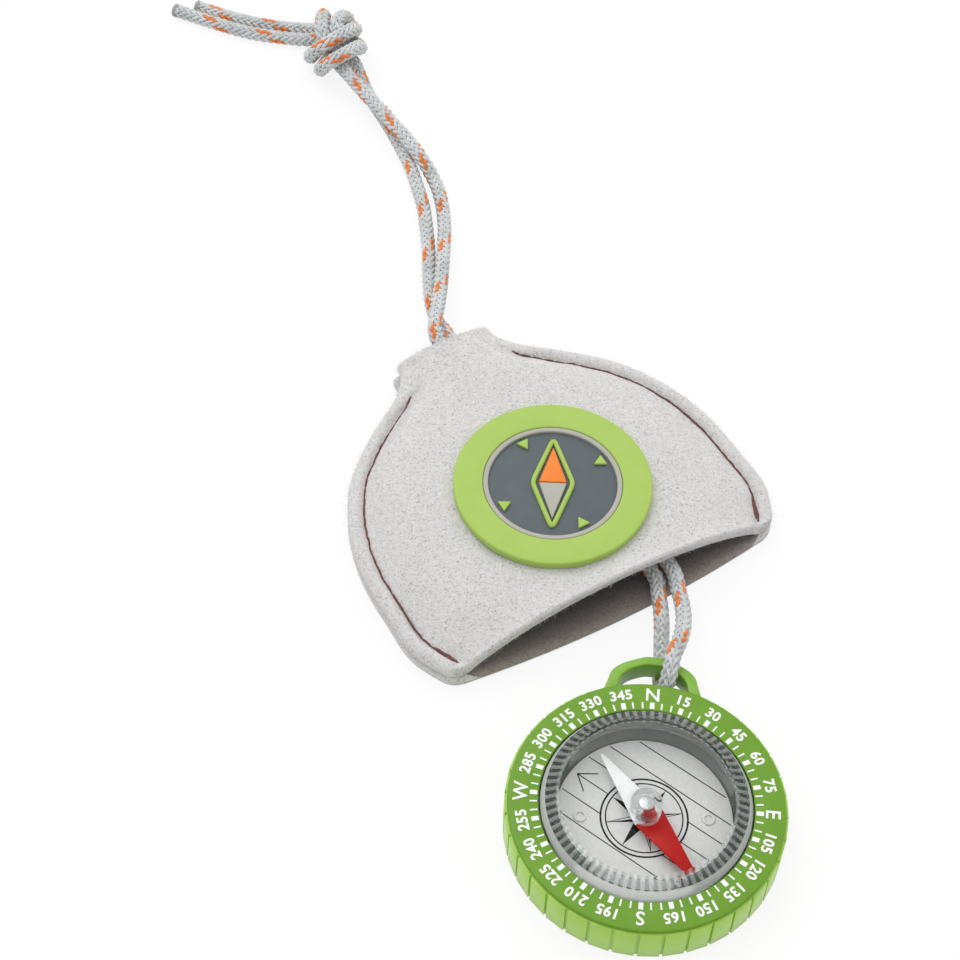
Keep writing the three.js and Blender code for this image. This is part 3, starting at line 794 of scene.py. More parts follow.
@dataclass
class Housing:
    """Green ring with grip panels, lanyard loop and raised white scale, and the back cover."""

    grip_radius: float = 25
    rim_radius: float = 24.5
    wall_radius: float = 23.4
    bore_radius: float = 19
    face_height: float = 9.2
    rim_height: float = 8.6
    panel_count: int = 36
    panels_left_out: int = 4
    panel_share: float = 0.87
    groove_depth: float = 0.4
    loop_apex: float = 31.1
    loop_low: float = 3.7
    loop_high: float = 8.2
    tick_radii: Pair = (19.25, 20.55)
    label_radius: float = 22.2
    tick_halves: Pair = (0.42, 0.15)
    letter: Pair = (2.6, 0.05)
    figure: Pair = (2.05, 0.085)
    cover_outline: Outline = (
        (0, 0.35, 0), (14.5, 0.35, 0.2), (15, 0, 0.2), (22, 0, 0.3), (22, 1.3, 0.1), (0, 1.3, 0))
    cover_seat: Pair = (22.1, 1.4)
    capsule_seat: Pair = (20.5, 4.9)
    bore_below: Pair = (20.6, 9)
    panel_root: float = 22.3
    panel_low: float = 0.4
    panel_step: float = 0.25
    panel_edge: float = 0.13
    bare_radius: float = 22.5
    loop_band: float = 1.8
    loop_foot: float = 21.2
    loop_halves: Triple = (5.6, 7.9, 9.6)
    loop_slope: float = 0.4
    loop_edge: float = 0.32
    relief: float = 0.07
    sink: float = 0.05
    # Face, loop and grip panels are one green plastic in three tones: the lighter panels and loop are painted
    # light, the darker face is painted shade.
    face_plastic: Finish = MouldedPlastic(
        "green_face", (110, 157, 40), (102, 149, 34), (0.36, 0.46), specular=0.3)
    loop_painted_light: Finish = MouldedPlastic("green_loop_painted_light", (130, 180, 56), (121, 171, 48), (0.3, 0.4))
    side_painted_light: Finish = MouldedPlastic("green_panels_painted_light", (168, 212, 80), (161, 206, 72), (0.28, 0.38))
    # Dark green of the bore: painted shade in the deep bore of the one green plastic.
    bore_painted_shade: Finish = MouldedPlastic("green_bore_painted_shade", (56, 74, 42), (48, 66, 36), (0.5, 0.65))
    scale_paint: Finish = Paint("white_scale", (250, 251, 248), (238, 240, 236))

    def body(self) -> None:
        """Turned body of the ring with its face, and its bore in a dark green that is painted shade."""
        (cover, lid), (flange, lip) = self.cover_seat, self.capsule_seat
        piece = turning("housing_body", [
            (cover, 0, 0.1), (self.wall_radius, 0, 0.4), (self.wall_radius, self.rim_height, 0),
            (self.rim_radius, self.rim_height, 0.1), (self.rim_radius, self.face_height, 0.25),
            (self.bore_radius, self.face_height, 0.2), (self.bore_radius, lip, 0.1), (flange, lip, 0.1),
            (flange, lid, 0.1), (cover, lid, 0.1),
        ], 240, self.face_plastic, self.bore_painted_shade)
        # Faces in the bore, under the face, get the painted shade.
        radius, height = self.bore_below
        for face in piece.data.polygons:
            if face.center.xy.length < radius * MM and face.center.z < height * MM:
                face.material_index = 1
        dress(piece, Body.COMPASS, Slot.GREEN_PLASTIC, "housing_ring")

    def panel_outline(self) -> Array:
        """Points of the grip panels in plan, with a groove at each panel edge.

        Returns:
            The points, anticlockwise.
        """
        pitch = 360 / self.panel_count
        half = pitch * self.panel_share / 2
        points = []
        for i in range(self.panel_count):
            middle = 90 + (i + 0.5) * pitch
            bare = min(i, self.panel_count - 1 - i) < self.panels_left_out / 2
            low = self.bare_radius if bare else self.grip_radius - self.groove_depth
            high = self.bare_radius if bare else self.grip_radius
            for turn, radius in ((-half - 0.02, low), (-half, high), (half, high), (half + 0.02, low)):
                angle = math.radians(middle + turn)
                points.append((radius * math.cos(angle), radius * math.sin(angle)))
        return np.array(points)

    def grips(self) -> None:
        """Grip panels round the ring."""
        outer = self.panel_outline()
        inner = outer / np.linalg.norm(outer, axis=1)[:, None] * self.panel_root
        count = len(outer)
        low, high = self.panel_low, self.rim_height - self.panel_step
        levels = [(inner, low), (outer, low), (outer, high), (inner, high)]
        verts = np.vstack([np.column_stack([ring, np.full(count, z)]) for ring, z in levels])
        faces = grid_faces(4, count, True)
        faces += [(3 * count + j, 3 * count + (j + 1) % count, (j + 1) % count, j) for j in range(count)]
        # The panels take the lighter green of painted light.
        piece = Form().add((verts, faces)).make("housing_grips", self.side_painted_light)
        dress(soften(piece, self.panel_edge), Body.COMPASS, Slot.GREEN_PLASTIC)

    def loop(self) -> None:
        """Band of the lanyard loop with rounded edges."""
        sides = []
        roof, wide, base = self.loop_halves
        for inset in (0.0, self.loop_band):
            ridge = self.loop_apex - inset
            inside, head, foot = roof - inset / 2, wide - inset, base - inset
            shoulder = ridge - self.loop_slope * (inside - 1.5)
            corner = (head, shoulder - self.loop_slope * (head - inside))
            bounds = [(head + 0.2, shoulder - 3.4), corner, (inside - 1.6, shoulder + 0.64)]
            start, middle, end = np.array(bounds)
            bend = [tuple((1 - t) ** 2 * start + 2 * t * (1 - t) * middle + t * t * end)
                    for t in np.linspace(0, 1, 12)]
            right = [(foot, self.loop_foot), *bend, (1.9, ridge - 0.16), (1.1, ridge), (0, ridge)]
            left = [(-x, y) for x, y in reversed(right[:-1])]
            sides.append(right + left)
        outline = np.array(sides[0] + sides[1][::-1])
        # The loop takes the lighter green of painted light.
        band = prism(outline, self.loop_low, self.loop_high)
        piece = Form().add(band).make("housing_loop", self.loop_painted_light)
        dress(soften(piece, self.loop_edge, 3), Body.COMPASS, Slot.GREEN_PLASTIC)

    def scale(self) -> None:
        """Raised ticks, figures and the four letters of the bearing scale."""
        form = Form()
        low, high = self.tick_radii
        base = self.face_height - self.sink
        for degrees in range(0, 360, 5):
            half = self.tick_halves[0 if degrees % 15 == 0 else 1]
            tick = np.array([(-half, low), (half, low), (half, high), (-half, high)])
            form.add(prism(turned(tick, -degrees), base, self.face_height + self.relief))
        letters = {0: "N", 90: "E", 180: "S", 270: "W"}
        for degrees in range(0, 360, 15):
            text = letters.get(degrees, str(degrees))
            height, bold = self.letter if degrees in letters else self.figure
            verts, faces = lettering(text, height, self.relief + self.sink, bold)
            angle = math.radians(degrees)
            shift = (self.label_radius * math.sin(angle), self.label_radius * math.cos(angle))
            verts = turned(verts, -degrees, shift)
            verts[:, 2] += base
            form.add((verts, faces))
        piece = form.make("bearing_scale", self.scale_paint, sharp=30)
        dress(piece, Body.COMPASS, Slot.DIAL_PRINT)

    def cover(self) -> None:
        """Back cover with a shallow turned recess."""
        piece = turning("back_plate", self.cover_outline, 144, self.face_plastic)
        dress(piece, Body.COMPASS, Slot.GREEN_PLASTIC, "back_cover")

    def build(self) -> None:
        """Make and dress the housing's pieces."""
        self.body()
        self.grips()
        self.loop()
        self.scale()
        self.cover()


@dataclass
class Capsule:
    """Clear ribbed capsule with its dial."""

    rib_count: int = 72
    rib_depth: float = 0.4
    rib_foot: Pair = (17.9, 10.7)
    rib_head: Pair = (16, 11.7)
    rib_half: float = 0.24
    rib_sharpness: float = 9
    rib_ends: Pair = (0.08, 0.92)
    inner: Pair = (15.9, 10.7)
    flange: Triple = (20.2, 3.05, 4.6)
    ledge: Pair = (18.7, 9.2)
    crown: tuple[Pair, ...] = ((15.85, 11.87), (15.7, 11.96), (15.5, 12.0), (0, 12.0))
    window_radius: float = 15.4
    window_low: float = 10.6
    gap_low: float = 10.45
    gap_half: float = 0.3
    shoulder_low: float = 9.1
    dial_radius: float = 15.8
    dial_low: float = 3.2
    dial_top: float = 3.7
    dial_hole: float = 0.55
    arrow_bearing: float = 301.6
    stud_radius: float = 11.4
    stud_turn: float = 4.5
    stud_ring: Pair = (0.7, 1.2)
    stud_height: float = 0.35
    stud_sink: float = 0.1
    line_spacing: float = 4.1
    line_width: float = 0.2
    rose_radii: Pair = (7.75, 6.87)
    rose_widths: Pair = (0.35, 0.25)
    rose_point: Pair = (0.95, 1.6)
    rose_half_point: Pair = (0.62, 1.5)
    rose_line: float = 0.13
    arrow_tip: float = 14.5
    arrow_head: Pair = (2.25, 2.95)
    line_margin: float = 0.35
    ink_low: float = 0.02
    ink_high: float = 0.015
    ink_step: float = 0.0004
    wall_plastic: Finish = ClearPlastic("clear_capsule", (248, 250, 248), 0.03, 0.004, 1.13, 0.8)
    window_plastic: Finish = ClearPlastic("clear_window", (254, 255, 254), 0.01, 0.003, 1.06)
    # Grey tint between the ribs: painted shade.
    gap_painted_shade: Finish = ClearPlastic("clear_rib_gap_painted_shade", (208, 217, 212), 0.1, 0.006, 1.17, 0.95)
    shoulder_plastic: Finish = ClearPlastic("clear_shoulder", (250, 252, 250), 0.08, 0.004, 1.13, 0.55)
    # The capsule's base is clear plastic; its opaque dark green is painted shade round the dial.
    base_painted_shade: Finish = MouldedPlastic("capsule_base_painted_shade", (80, 97, 80), (71, 88, 71), (0.4, 0.55))
    card: Finish = Paint("dial_card_grey", (222, 221, 221), (214, 213, 213), (0.3, 0.42))
    ink: Finish = Paint("black_ink", (30, 29, 30), (22, 21, 22))
    pin_metal: Finish = TurnedMetal("bright_metal")

    def rib_wave(self, outline: Array, angle: float) -> Array:
        """Outline of the lens at one angle, cut back between the ribs.

        Args:
            outline: Radius and height of each point.
            angle: The angle in radians.

        Returns:
            The outline there.
        """
        share = (angle * self.rib_count / (2 * math.pi)) % 1
        cut = 0.5 - 0.5 * math.tanh(self.rib_sharpness * (abs(share - 0.5) - self.rib_half))
        foot, head = np.array(self.rib_foot), np.array(self.rib_head)
        length = np.linalg.norm(head - foot)
        way = (head - foot) / length
        inward = np.array([-way[1], way[0]])
        along = (outline - foot) @ way / length
        near, far = self.rib_ends
        zone = (np.abs((outline - foot) @ inward) < 0.01) & (along > near) & (along < far)
        return outline + np.outer(zone * self.rib_depth * cut, inward)

    def lens(self) -> None:
        """Clear top of the capsule: flat window, ribs with duller gaps tinted grey as painted shade, hazy
        shoulder and wall.
        """
        foot, head = np.array(self.rib_foot), np.array(self.rib_head)
        cone = [foot + (head - foot) * t for t in (0, 0.07, 0.13, 0.5, 0.87, 0.93, 1)]
        (inside, roof), (flange, low, high), (neck, ledge) = self.inner, self.flange, self.ledge
        outline = np.vstack([
            fillet([(0, roof, 0), (inside, roof, 0.4), (inside, low, 0.1), (flange, low, 0.1),
                    (flange, high, 0.1), (neck, high, 0.1), (neck, ledge, 0.15), (*self.rib_foot, 0)])[:-1],
            np.array(cone),
            np.array(self.crown),
        ])
        mesh = lathe(outline, self.rib_count * 8, self.rib_wave)
        piece = Form().add(mesh).make(
            "capsule_cover", self.wall_plastic, self.window_plastic, self.gap_painted_shade, self.shoulder_plastic)
        for face in piece.data.polygons:
            radius = face.center.xy.length / MM
            share = math.atan2(face.center.y, face.center.x) * self.rib_count / (2 * math.pi) % 1
            height, between = face.center.z, abs(share - 0.5) < self.gap_half
            if radius < self.window_radius and height > self.window_low * MM:
                face.material_index = 1
            # Faces between the ribs get the grey tint of painted shade.
            elif radius < self.rib_foot[0] and height > self.gap_low * MM and between:
                face.material_index = 2
            elif radius > self.rib_foot[0] and height > self.shoulder_low * MM:
                face.material_index = 3
        dress(piece, Body.CAPSULE, Slot.CLEAR_PLASTIC, "capsule_lens")

    def dial(self) -> None:
        """Dial card with two small moulded rings."""
        hole, edge, low, top = self.dial_hole, self.dial_radius, self.dial_low, self.dial_top
        disc = [(hole, low, 0), (edge, low, 0), (edge, top, 0.1), (hole, top, 0)]
        form = Form().add(lathe(fillet(disc), 144))
        bore, rim = self.stud_ring
        sunk, over = top - self.stud_sink, top + self.stud_height
        ring = [(bore, sunk, 0), (rim, sunk, 0), (rim, over, 0.1), (bore, over, 0.1)]
        verts, faces = lathe(fillet(ring), 32)
        for x in (-self.stud_radius, self.stud_radius):
            form.add((turned(verts + np.array([x, 0, 0]), self.stud_turn), faces))
        dress(form.make("dial_disc", self.card), Body.CAPSULE, Slot.DIAL_PRINT, "dial_card")

    def stroke(self, start: Sequence[float], end: Sequence[float], width: float) -> Array:
        """Outline of a straight printed stroke.

        Args:
            start: One end.
            end: The other end.
            width: Its width.

        Returns:
            Its corners.
        """
        a, b = np.array(start, float), np.array(end, float)
        way = (b - a) / np.linalg.norm(b - a)
        side = np.array([-way[1], way[0]]) * width / 2
        return np.array([a - side, b - side, b + side, a + side])

    def strokes(self) -> list[Array]:
        """Printed lines, arrow and rose, with the arrow along +Y.

        Returns:
            The outline of each mark.
        """
        marks = []
        outer, inner = self.rose_radii
        edge = self.dial_radius - self.line_margin
        for k in range(-2, 4):
            x = k * self.line_spacing
            reach = math.sqrt(edge**2 - x**2)
            stop = math.sqrt(max(0, (outer + 0.1) ** 2 - x**2))
            tip = self.arrow_tip if k == 0 else reach
            if stop > 0:
                marks.append(self.stroke((x, stop), (x, tip), self.line_width))
                marks.append(self.stroke((x, -reach), (x, -stop), self.line_width))
            else:
                marks.append(self.stroke((x, -reach), (x, reach), self.line_width))
        across, back = self.arrow_head
        for side in (-1, 1):
            foot = (side * across, self.arrow_tip - back)
            marks.append(self.stroke((0, self.arrow_tip + 0.05), foot, self.line_width * 1.1))
        (wide, waist), (narrow, neck) = self.rose_point, self.rose_half_point
        for k in range(4):
            bold = np.array([(0, 0), (wide, waist), (0, inner), (-wide, waist)])
            marks.append(turned(bold, 90 * k))
            half = np.array([(0, 0), (0, inner), (-narrow, neck)])
            marks.append(turned(half, 90 * k + 45))
            for line in (((0, inner), (narrow, neck)), ((narrow, neck), (0, 0))):
                marks.append(turned(self.stroke(*line, self.rose_line), 90 * k + 45))
        return marks

    def print(self) -> None:
        """Printed figure on the dial."""
        form = Form()
        low, high = self.dial_top - self.ink_low, self.dial_top + self.ink_high
        for number, mark in enumerate(self.strokes()):
            lift = self.ink_step * number
            form.add(prism(turned(mark, -self.arrow_bearing), low, high + lift))
        for radius, width in zip(self.rose_radii, self.rose_widths):
            inner, outer = radius - width / 2, radius + width / 2
            form.add(lathe(np.array([(inner, low), (outer, low), (outer, high), (inner, high)]), 120))
        dress(form.make("dial_figure", self.ink, merge=False), Body.CAPSULE, Slot.DIAL_PRINT)

    def build(self) -> None:
        """Make and dress the capsule's pieces."""
        self.lens()
        self.dial()
        self.print()
        # The kept base gets the dark green of painted shade.
        finish_node("capsule_base", self.base_painted_shade)
        finish_node("pivot_pin", self.pin_metal)


@dataclass
class Needle:
    """Painted needle on a metal bearing under a clear cap."""

    bearing: float = 142.2
    low: float = 5.5
    high: float = 5.9
    half_length: float = 13.7
    width: float = 5.9
    widest_at: float = 1.2
    red_tip: float = 1.75
    white_tip: float = 0.6
    edge: float = 0.16
    socket_outline: Outline = (
        (0.85, 5.1, 0), (2, 5.1, 0.1), (2, 5.45, 0.1), (1.4, 5.45, 0), (1.4, 9, 0.25), (0, 9, 0),
        (0, 8.5, 0), (0.85, 7.5, 0))
    cap_outline: Outline = (
        (1.5, 5.95, 0), (2.85, 5.95, 0.1), (2.85, 10.2, 1.0), (0, 10.2, 0), (0, 9.1, 0), (1.5, 9.1, 0.1))
    red: Finish = Paint("red_paint", (186, 14, 8), (178, 11, 6), (0.25, 0.35))
    white: Finish = Paint("white_paint", (246, 247, 248), (238, 240, 242), (0.25, 0.35))
    metal: Finish = TurnedMetal("hub_metal", (206, 208, 211))
    clear: Finish = ClearPlastic("clear_hub", (255, 255, 255), 0.01, 0.0, 1.27)

    def blade(self, name: str, tip: float, tip_width: float, paint: Finish) -> Piece:
        """One painted half of the needle.

        Args:
            name: Name of the piece.
            tip: Distance of its tip from the pivot along the red direction.
            tip_width: Width at the tip.
            paint: Its paint.

        Returns:
            The piece.
        """
        x, half = self.widest_at, self.width / 2
        outline = np.array([(tip, -tip_width / 2), (tip, tip_width / 2), (x, half), (x, -half)])
        if tip < 0:
            outline = outline[::-1]
        plate = Form().add(prism(turned(outline, 90 - self.bearing), self.low, self.high))
        return soften(plate.make(name, paint), self.edge)

    def socket(self) -> None:
        """Turned metal bearing."""
        piece = turning("bearing_socket", self.socket_outline, 48, self.metal)
        dress(piece, Body.NEEDLE, Slot.STEEL, "needle_bearing")

    def cap(self) -> None:
        """Clear cap with a rounded top edge."""
        piece = turning("hub_cap", self.cap_outline, 72, self.clear, segments=5)
        dress(piece, Body.NEEDLE, Slot.CLEAR_PLASTIC, "needle_cap")

    def build(self) -> None:
        """Make and dress the needle's pieces."""
        north = self.blade("needle_red", self.half_length, self.red_tip, self.red)
        south = self.blade("needle_white", -self.half_length, self.white_tip, self.white)
        dress(north, Body.NEEDLE, Slot.NEEDLE_PAINT, "needle")
        dress(south, Body.NEEDLE, Slot.NEEDLE_PAINT)
        self.socket()
        self.cap()


# Along a stitch: shares of its length, heights above the felt and shares of the thread's thickness.
STITCH = np.array([
    (-0.03, 0.06, 0.25, 0.5, 0.75, 0.94, 1.03),
    (-0.22, -0.02, 0.06, 0.08, 0.06, -0.02, -0.22),
    (0.6, 0.95, 1, 1, 1, 0.95, 0.6),
])


@dataclass
class Pouch:
    """Two felt panels sewn along the sides, open at the mouth and at the neck."""

    origin: Pair = (-7.4, 45.7)
    turn: float = 35.5
    length: float = 70
    thickness: float = 2.5
    gap: float = 0.1
    slack: float = 0.2
    stations: tuple[float, ...] = (0, 8, 18, 30, 42, 51, 58, 63, 66.5, 70)
    half_widths: tuple[float, ...] = (36, 39.6, 40, 39.3, 35.5, 29.6, 22, 14.6, 11.4, 10.5)
    corner: float = 2.2
    lip_bow: float = 2.6
    crown: float = 5.2
    flare: float = 2.1
    flare_length: float = 6
    arch_length: float = 14
    hollow_inset: float = 4.4
    hollow_ease: float = 2.8
    open_from: float = 54
    open_over: float = 10
    open_margin: float = 1.6
    neck_from: float = 58
    neck_dip: float = 2
    neck_corner: float = 1.3
    seam_inset: float = 3.2
    seam_from: float = 2
    seam_to: float = 63
    seam_to_right: float = 65
    edge_round: float = 1.15
    crease_depth: float = 0.8
    crease_width: float = 0.7
    puff: float = 0.3
    puff_inset: float = 1.5
    puff_width: float = 0.9
    lip_half: float = 36
    lip_length: float = 14
    curl_at: float = 68.4
    curl_length: float = 2.2
    stitch: float = 2.4
    thread_radius: float = 0.2
    back_stitches: int = 6
    back_thickness: float = 1.35
    fibre_count: int = 9000
    fibre_half: Pair = (0.015, 0.03)
    fibre_curl: float = 0.25
    edge_reach: Pair = (0.2, 0.6)
    face_reach: Pair = (0.4, 1.2)
    felts: tuple[Finish, ...] = (
        WoolFelt("pale_felt"),
        # Inner side, painted darker than the outside and darker still over 13 mm from the open ends: painted
        # shade.
        WoolFelt("felt_inside_painted_shade", (164, 155, 151), (147, 138, 134), (112, 104, 101), 13),
        # Front panel's mouth edge, darker than the outside felt: painted shade where it faces down.
        WoolFelt("felt_mouth_edge_painted_shade", (216, 214, 213), (203, 201, 200), (158, 155, 154)),
    )
    fibre: Finish = WoolFelt("loose_wool", (240, 239, 238), (230, 228, 227), (206, 203, 202))
    thread: Finish = Yarn("brown_thread", (104, 46, 36), (70, 28, 22), 0.1)

    def half_width(self, v: Array | float) -> Array:
        """Half width of the panels at a distance from the mouth, its corners rounded.

        Args:
            v: Distance from the mouth.

        Returns:
            The half width.
        """
        x, y = np.array(self.stations, float), np.array(self.half_widths, float)
        slopes = np.gradient(y, x)
        v = np.clip(np.asarray(v, float), 0, self.length)
        i = np.clip(np.searchsorted(x, v, side="right") - 1, 0, len(x) - 2)
        h = x[i + 1] - x[i]
        t = (v - x[i]) / h
        width = ((2 * t**3 - 3 * t**2 + 1) * y[i] + (t**3 - 2 * t**2 + t) * h * slopes[i]
                 + (3 * t**2 - 2 * t**3) * y[i + 1] + (t**3 - t**2) * h * slopes[i + 1])
        near = np.clip(1 - v / self.corner, 0, 1)
        far = np.clip(1 - (self.length - v) / self.neck_corner, 0, 1)
        mouth = self.corner * (1 - np.sqrt(1 - near**2))
        return width - mouth - self.neck_corner * (1 - np.sqrt(1 - far**2))

    def slope(self, v: Array | float) -> Array:
        """Change of the half width along the pouch, with the mouth corners left out."""
        v = np.clip(np.asarray(v, float), self.corner + 0.5, self.length - 0.5)
        return self.half_width(v + 0.5) - self.half_width(v - 0.5)

    def hollow(self, v: Array) -> Array:
        """Half width of the space between the panels.

        Args:
            v: Distance from the mouth.

        Returns:
            The half width.
        """
        neck = np.clip((v - self.neck_from) / (self.length - self.neck_from), 0, 1)
        inset = (self.hollow_inset - self.hollow_ease * neck) * np.hypot(1, self.slope(v))
        return self.half_width(np.maximum(v, self.corner)) - inset

    def rise(self, u: Array, v: Array) -> Array:
        """Height of the front panel's inner side above the seam.

        Args:
            u: Distance across.
            v: Distance from the mouth.

        Returns:
            The height.
        """
        share = np.minimum(np.abs(u) / self.hollow(v), 1)
        flare = np.clip(1 - v / self.flare_length, 0, 1) ** 2
        flat = np.clip(v / self.arch_length, 0, 1)
        sewn = (self.crown + self.flare * flare) * (1 - share ** (2 + 3 * flat)) ** (0.8 + 0.4 * flat)
        neck = np.clip((v - self.open_from) / self.open_over, 0, 1)
        neck = neck * neck * (3 - 2 * neck)
        arch = self.crown * np.clip(1 - (u / (self.half_width(v) + self.open_margin)) ** 2, 0, 1)
        return sewn * (1 - neck) + arch * neck

    def dip(self, u: Array, v: Array) -> Array:
        """How far the front panel's neck edge is cut back in its middle."""
        along = np.clip((v - self.neck_from) / (self.length - self.neck_from), 0, 1) ** 2
        return self.neck_dip * along * (1 - np.clip(u / self.half_width(v), -1, 1) ** 2)

    def lean(self, u: Array, v: Array) -> Array:
        """Sideways pull of the felt towards the neck.

        Args:
            u: Distance across.
            v: Distance from the mouth.

        Returns:
            The shift across.
        """
        pull = np.clip((v - 48) / 12, 0, 1) - 0.35 * np.clip((v - 62) / 6, 0, 1)
        left = 1.5 * pull * np.clip(-u / 10, 0, 1)
        right = 1.2 * np.clip((v - 60) / 10, 0, 1) * np.clip(u / 8, 0, 1)
        return left + right

    def grid(self) -> tuple[Array, Array, Array]:
        """Places over a panel.

        Returns:
            Distance across, distance from the mouth, and distance in from the side edge.
        """
        margin = np.array([
            0, 0.06, 0.2, 0.42, 0.75, 1.15, 1.6, 2.1, 2.5, 2.8, 3.0, 3.2, 3.4, 3.6, 3.9, 4.4, 5])
        ends = np.array([0, 0.06, 0.2, 0.42, 0.75, 1.15, 1.7, 2.4, 3.2, 4.2])
        rows = np.concatenate([ends, np.arange(5.2, self.length - 5, 1.0), self.length - ends[::-1]])
        inner = np.linspace(1, 0, 22)[1:]
        lines_u, lines_v, lines_d = [], [], []
        for v in rows:
            width = float(self.half_width(v))
            scale = math.hypot(1, float(self.slope(v)))
            reach = min(5 * scale, 0.8 * width) / 5
            edge = width - margin * reach
            right = np.concatenate([edge, inner * edge[-1]])
            across = np.concatenate([-right, right[::-1][1:]])
            depth = (width - np.abs(across)) / scale
            lines_u.append(across)
            lines_v.append(np.full(len(across), v))
            lines_d.append(depth)
        return np.array(lines_u), np.array(lines_v), np.array(lines_d)

    def edge_drop(self, side: Array, v: Array) -> Array:
        """How far a face of the felt drops towards its rounded edges.

        Args:
            side: Distance in from the side edge.
            v: Distance from the mouth.

        Returns:
            The drop.
        """
        r = self.edge_round
        ends = np.minimum(v, self.length - v)
        q = np.hypot(np.clip(r - side, 0, r), np.clip(r - ends, 0, r))
        return r - np.sqrt(np.clip(r**2 - q**2, 0, None))

    def crease(self, side: Array, v: Array) -> Array:
        """Sunken sewing line with the felt puffed on its outer side.

        Args:
            side: Distance in from the side edge.
            v: Distance from the mouth.

        Returns:
            Its depth, below 0 where the felt is puffed.
        """
        along = np.clip((v - self.seam_from + 2) / 3, 0, 1) * np.clip((self.seam_to - v) / 4, 0, 1)
        line = np.exp(-((side - self.seam_inset) / self.crease_width) ** 2)
        puff = np.exp(-((side - self.puff_inset) / self.puff_width) ** 2)
        return along * (self.crease_depth * line - self.puff * puff)

    def place(self, u: Array, v: Array, z: Array) -> Array:
        """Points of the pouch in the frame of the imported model."""
        points = np.column_stack([np.ravel(u + self.lean(u, v)), np.ravel(v), np.ravel(z)])
        return turned(points, self.turn, self.origin)

    def shell(self, u: Array, v: Array, high: Array, low: Array) -> Mesh:
        """Closed panel between its upper and lower faces.

        Args:
            u: Distance across.
            v: Distance from the mouth.
            high: Heights of the upper face.
            low: Heights of the lower face.

        Returns:
            Vertices and faces.
        """
        rows, columns = u.shape
        verts = np.vstack([self.place(u, v, high), self.place(u, v, low)])
        faces = grid_faces(rows, columns)
        faces += [tuple(rows * columns + i for i in face[::-1]) for face in grid_faces(rows, columns)]
        ring = [(0, j) for j in range(columns)] + [(i, columns - 1) for i in range(1, rows)]
        ring += [(rows - 1, j) for j in range(columns - 2, -1, -1)]
        ring += [(i, 0) for i in range(rows - 2, 0, -1)]
        loop = [i * columns + j for i, j in ring]
        for a, b in zip(loop, loop[1:] + loop[:1]):
            faces.append((b, a, rows * columns + a, rows * columns + b))
        return verts, faces

    def ripple(self, u: Array, v: Array) -> Array:
        """Gentle unevenness of the felt."""
        return 0.12 * np.sin(0.31 * u + 0.6) * np.sin(0.23 * v + 1.1) + 0.07 * np.sin(0.7 * u - 0.5 * v)

    def inside(self, drop: Array, side: Array, v: Array, under: bool, count: int) -> list[int]:
        """Material of each face: 1 on a panel's inner side, 2 on the cut edge of the front panel's mouth;
        both are painted shade.

        Args:
            drop: Drop of the surface towards its edges.
            side: Distance in from the side edge.
            v: Distance from the mouth.
            under: Whether the inner side is the lower one.
            count: Number of all faces.

        Returns:
            One slot for each face.
        """
        # The front panel's mouth edge gets the painted shade of slot 2.
        cut = (v[:-1, :-1] < 0.7) & under
        # Inner faces away from the rounded edges get the painted shade of the inside.
        painted_shade_faces = ((drop < 1e-3) | ((v < 2.5) & (side > 3)))[:-1, :-1]
        inner = np.where(cut, 2, painted_shade_faces.astype(int)).ravel().tolist()
        outer = np.where(cut, 2, 0).ravel().tolist()
        both = (outer + inner if under else inner + outer) + [2 if under else 1] * cut.shape[1]
        return both + [0] * (count - len(both))

    def strip(self, u: Array, v: Array) -> Array:
        """Place of each vertex of a panel across the pouch and in from its nearer open end."""
        return np.tile(np.column_stack([u.ravel(), np.minimum(v, self.length - v).ravel()]), (2, 1))

    def front_places(self) -> tuple[Array, ...]:
        """Places over the front panel.

        Returns:
            The grid's three distances, the drop towards the edges, and the heights of both faces.
        """
        u, v, side = self.grid()
        low = self.thickness + self.gap + self.slack + self.rise(u, v)
        drop = self.edge_drop(side, v)
        return u, v, side, drop, low, low + self.thickness - drop - self.crease(side, v)

    def front(self) -> Piece:
        """Front panel, crowned over the hollow and flared at the mouth.

        Returns:
            The piece.
        """
        u, v, side, drop, low, high = self.front_places()
        rippled = high + self.ripple(u, v) * (drop < 0.01)
        mesh = self.shell(u, v - self.dip(u, v), rippled, low + drop)
        slots = self.inside(drop, side, v, True, len(mesh[1]))
        return Form().add(mesh, slots, self.strip(u, v)).make("felt_front_panel", *self.felts, sharp=80)

    def back(self) -> Piece:
        """Back panel, flat on the table, its mouth edge slightly bowed and its left neck corner curled.

        Returns:
            The piece.
        """
        u, v, side = self.grid()
        drop = self.edge_drop(side, v)
        curl = np.exp(-(((v - self.curl_at) / self.curl_length) ** 2)) * np.clip(-u / 10, 0, 1.2) ** 4
        high = self.thickness - drop + 0.6 * curl
        low = drop + np.clip(self.crease(side, v), 0, None) + 0.3 * curl
        bow = self.lip_bow * (1 - (u / self.lip_half) ** 2) * np.clip(1 - v / self.lip_length, 0, 1)
        mesh = self.shell(u - 0.8 * curl, v - np.clip(bow, 0, None), high, low)
        slots = self.inside(drop, side, v, False, len(mesh[1]))
        return Form().add(mesh, slots, self.strip(u, v)).make("felt_back_panel", *self.felts, sharp=80)

    def seam_points(self, side: Side, step: float) -> Array:
        """Points along a sewing line in even steps, with the front panel's rise as their height.

        Args:
            side: Which side of the pouch.
            step: Distance between the points.

        Returns:
            The points, before the pouch is turned into place.
        """
        v = np.linspace(self.seam_from, self.seam_to_right if side is Side.RIGHT else self.seam_to, 120)
        slope = self.slope(v)
        inset = self.seam_inset / np.hypot(1, slope)
        line = np.column_stack([side.value * (self.half_width(np.maximum(v, self.corner)) - inset),
                                v + inset * slope, np.zeros(len(v))])
        line[:, 2] = self.rise(line[:, 0], line[:, 1])
        line[:, 0] += self.lean(line[:, 0], line[:, 1])
        return spline(line, step)

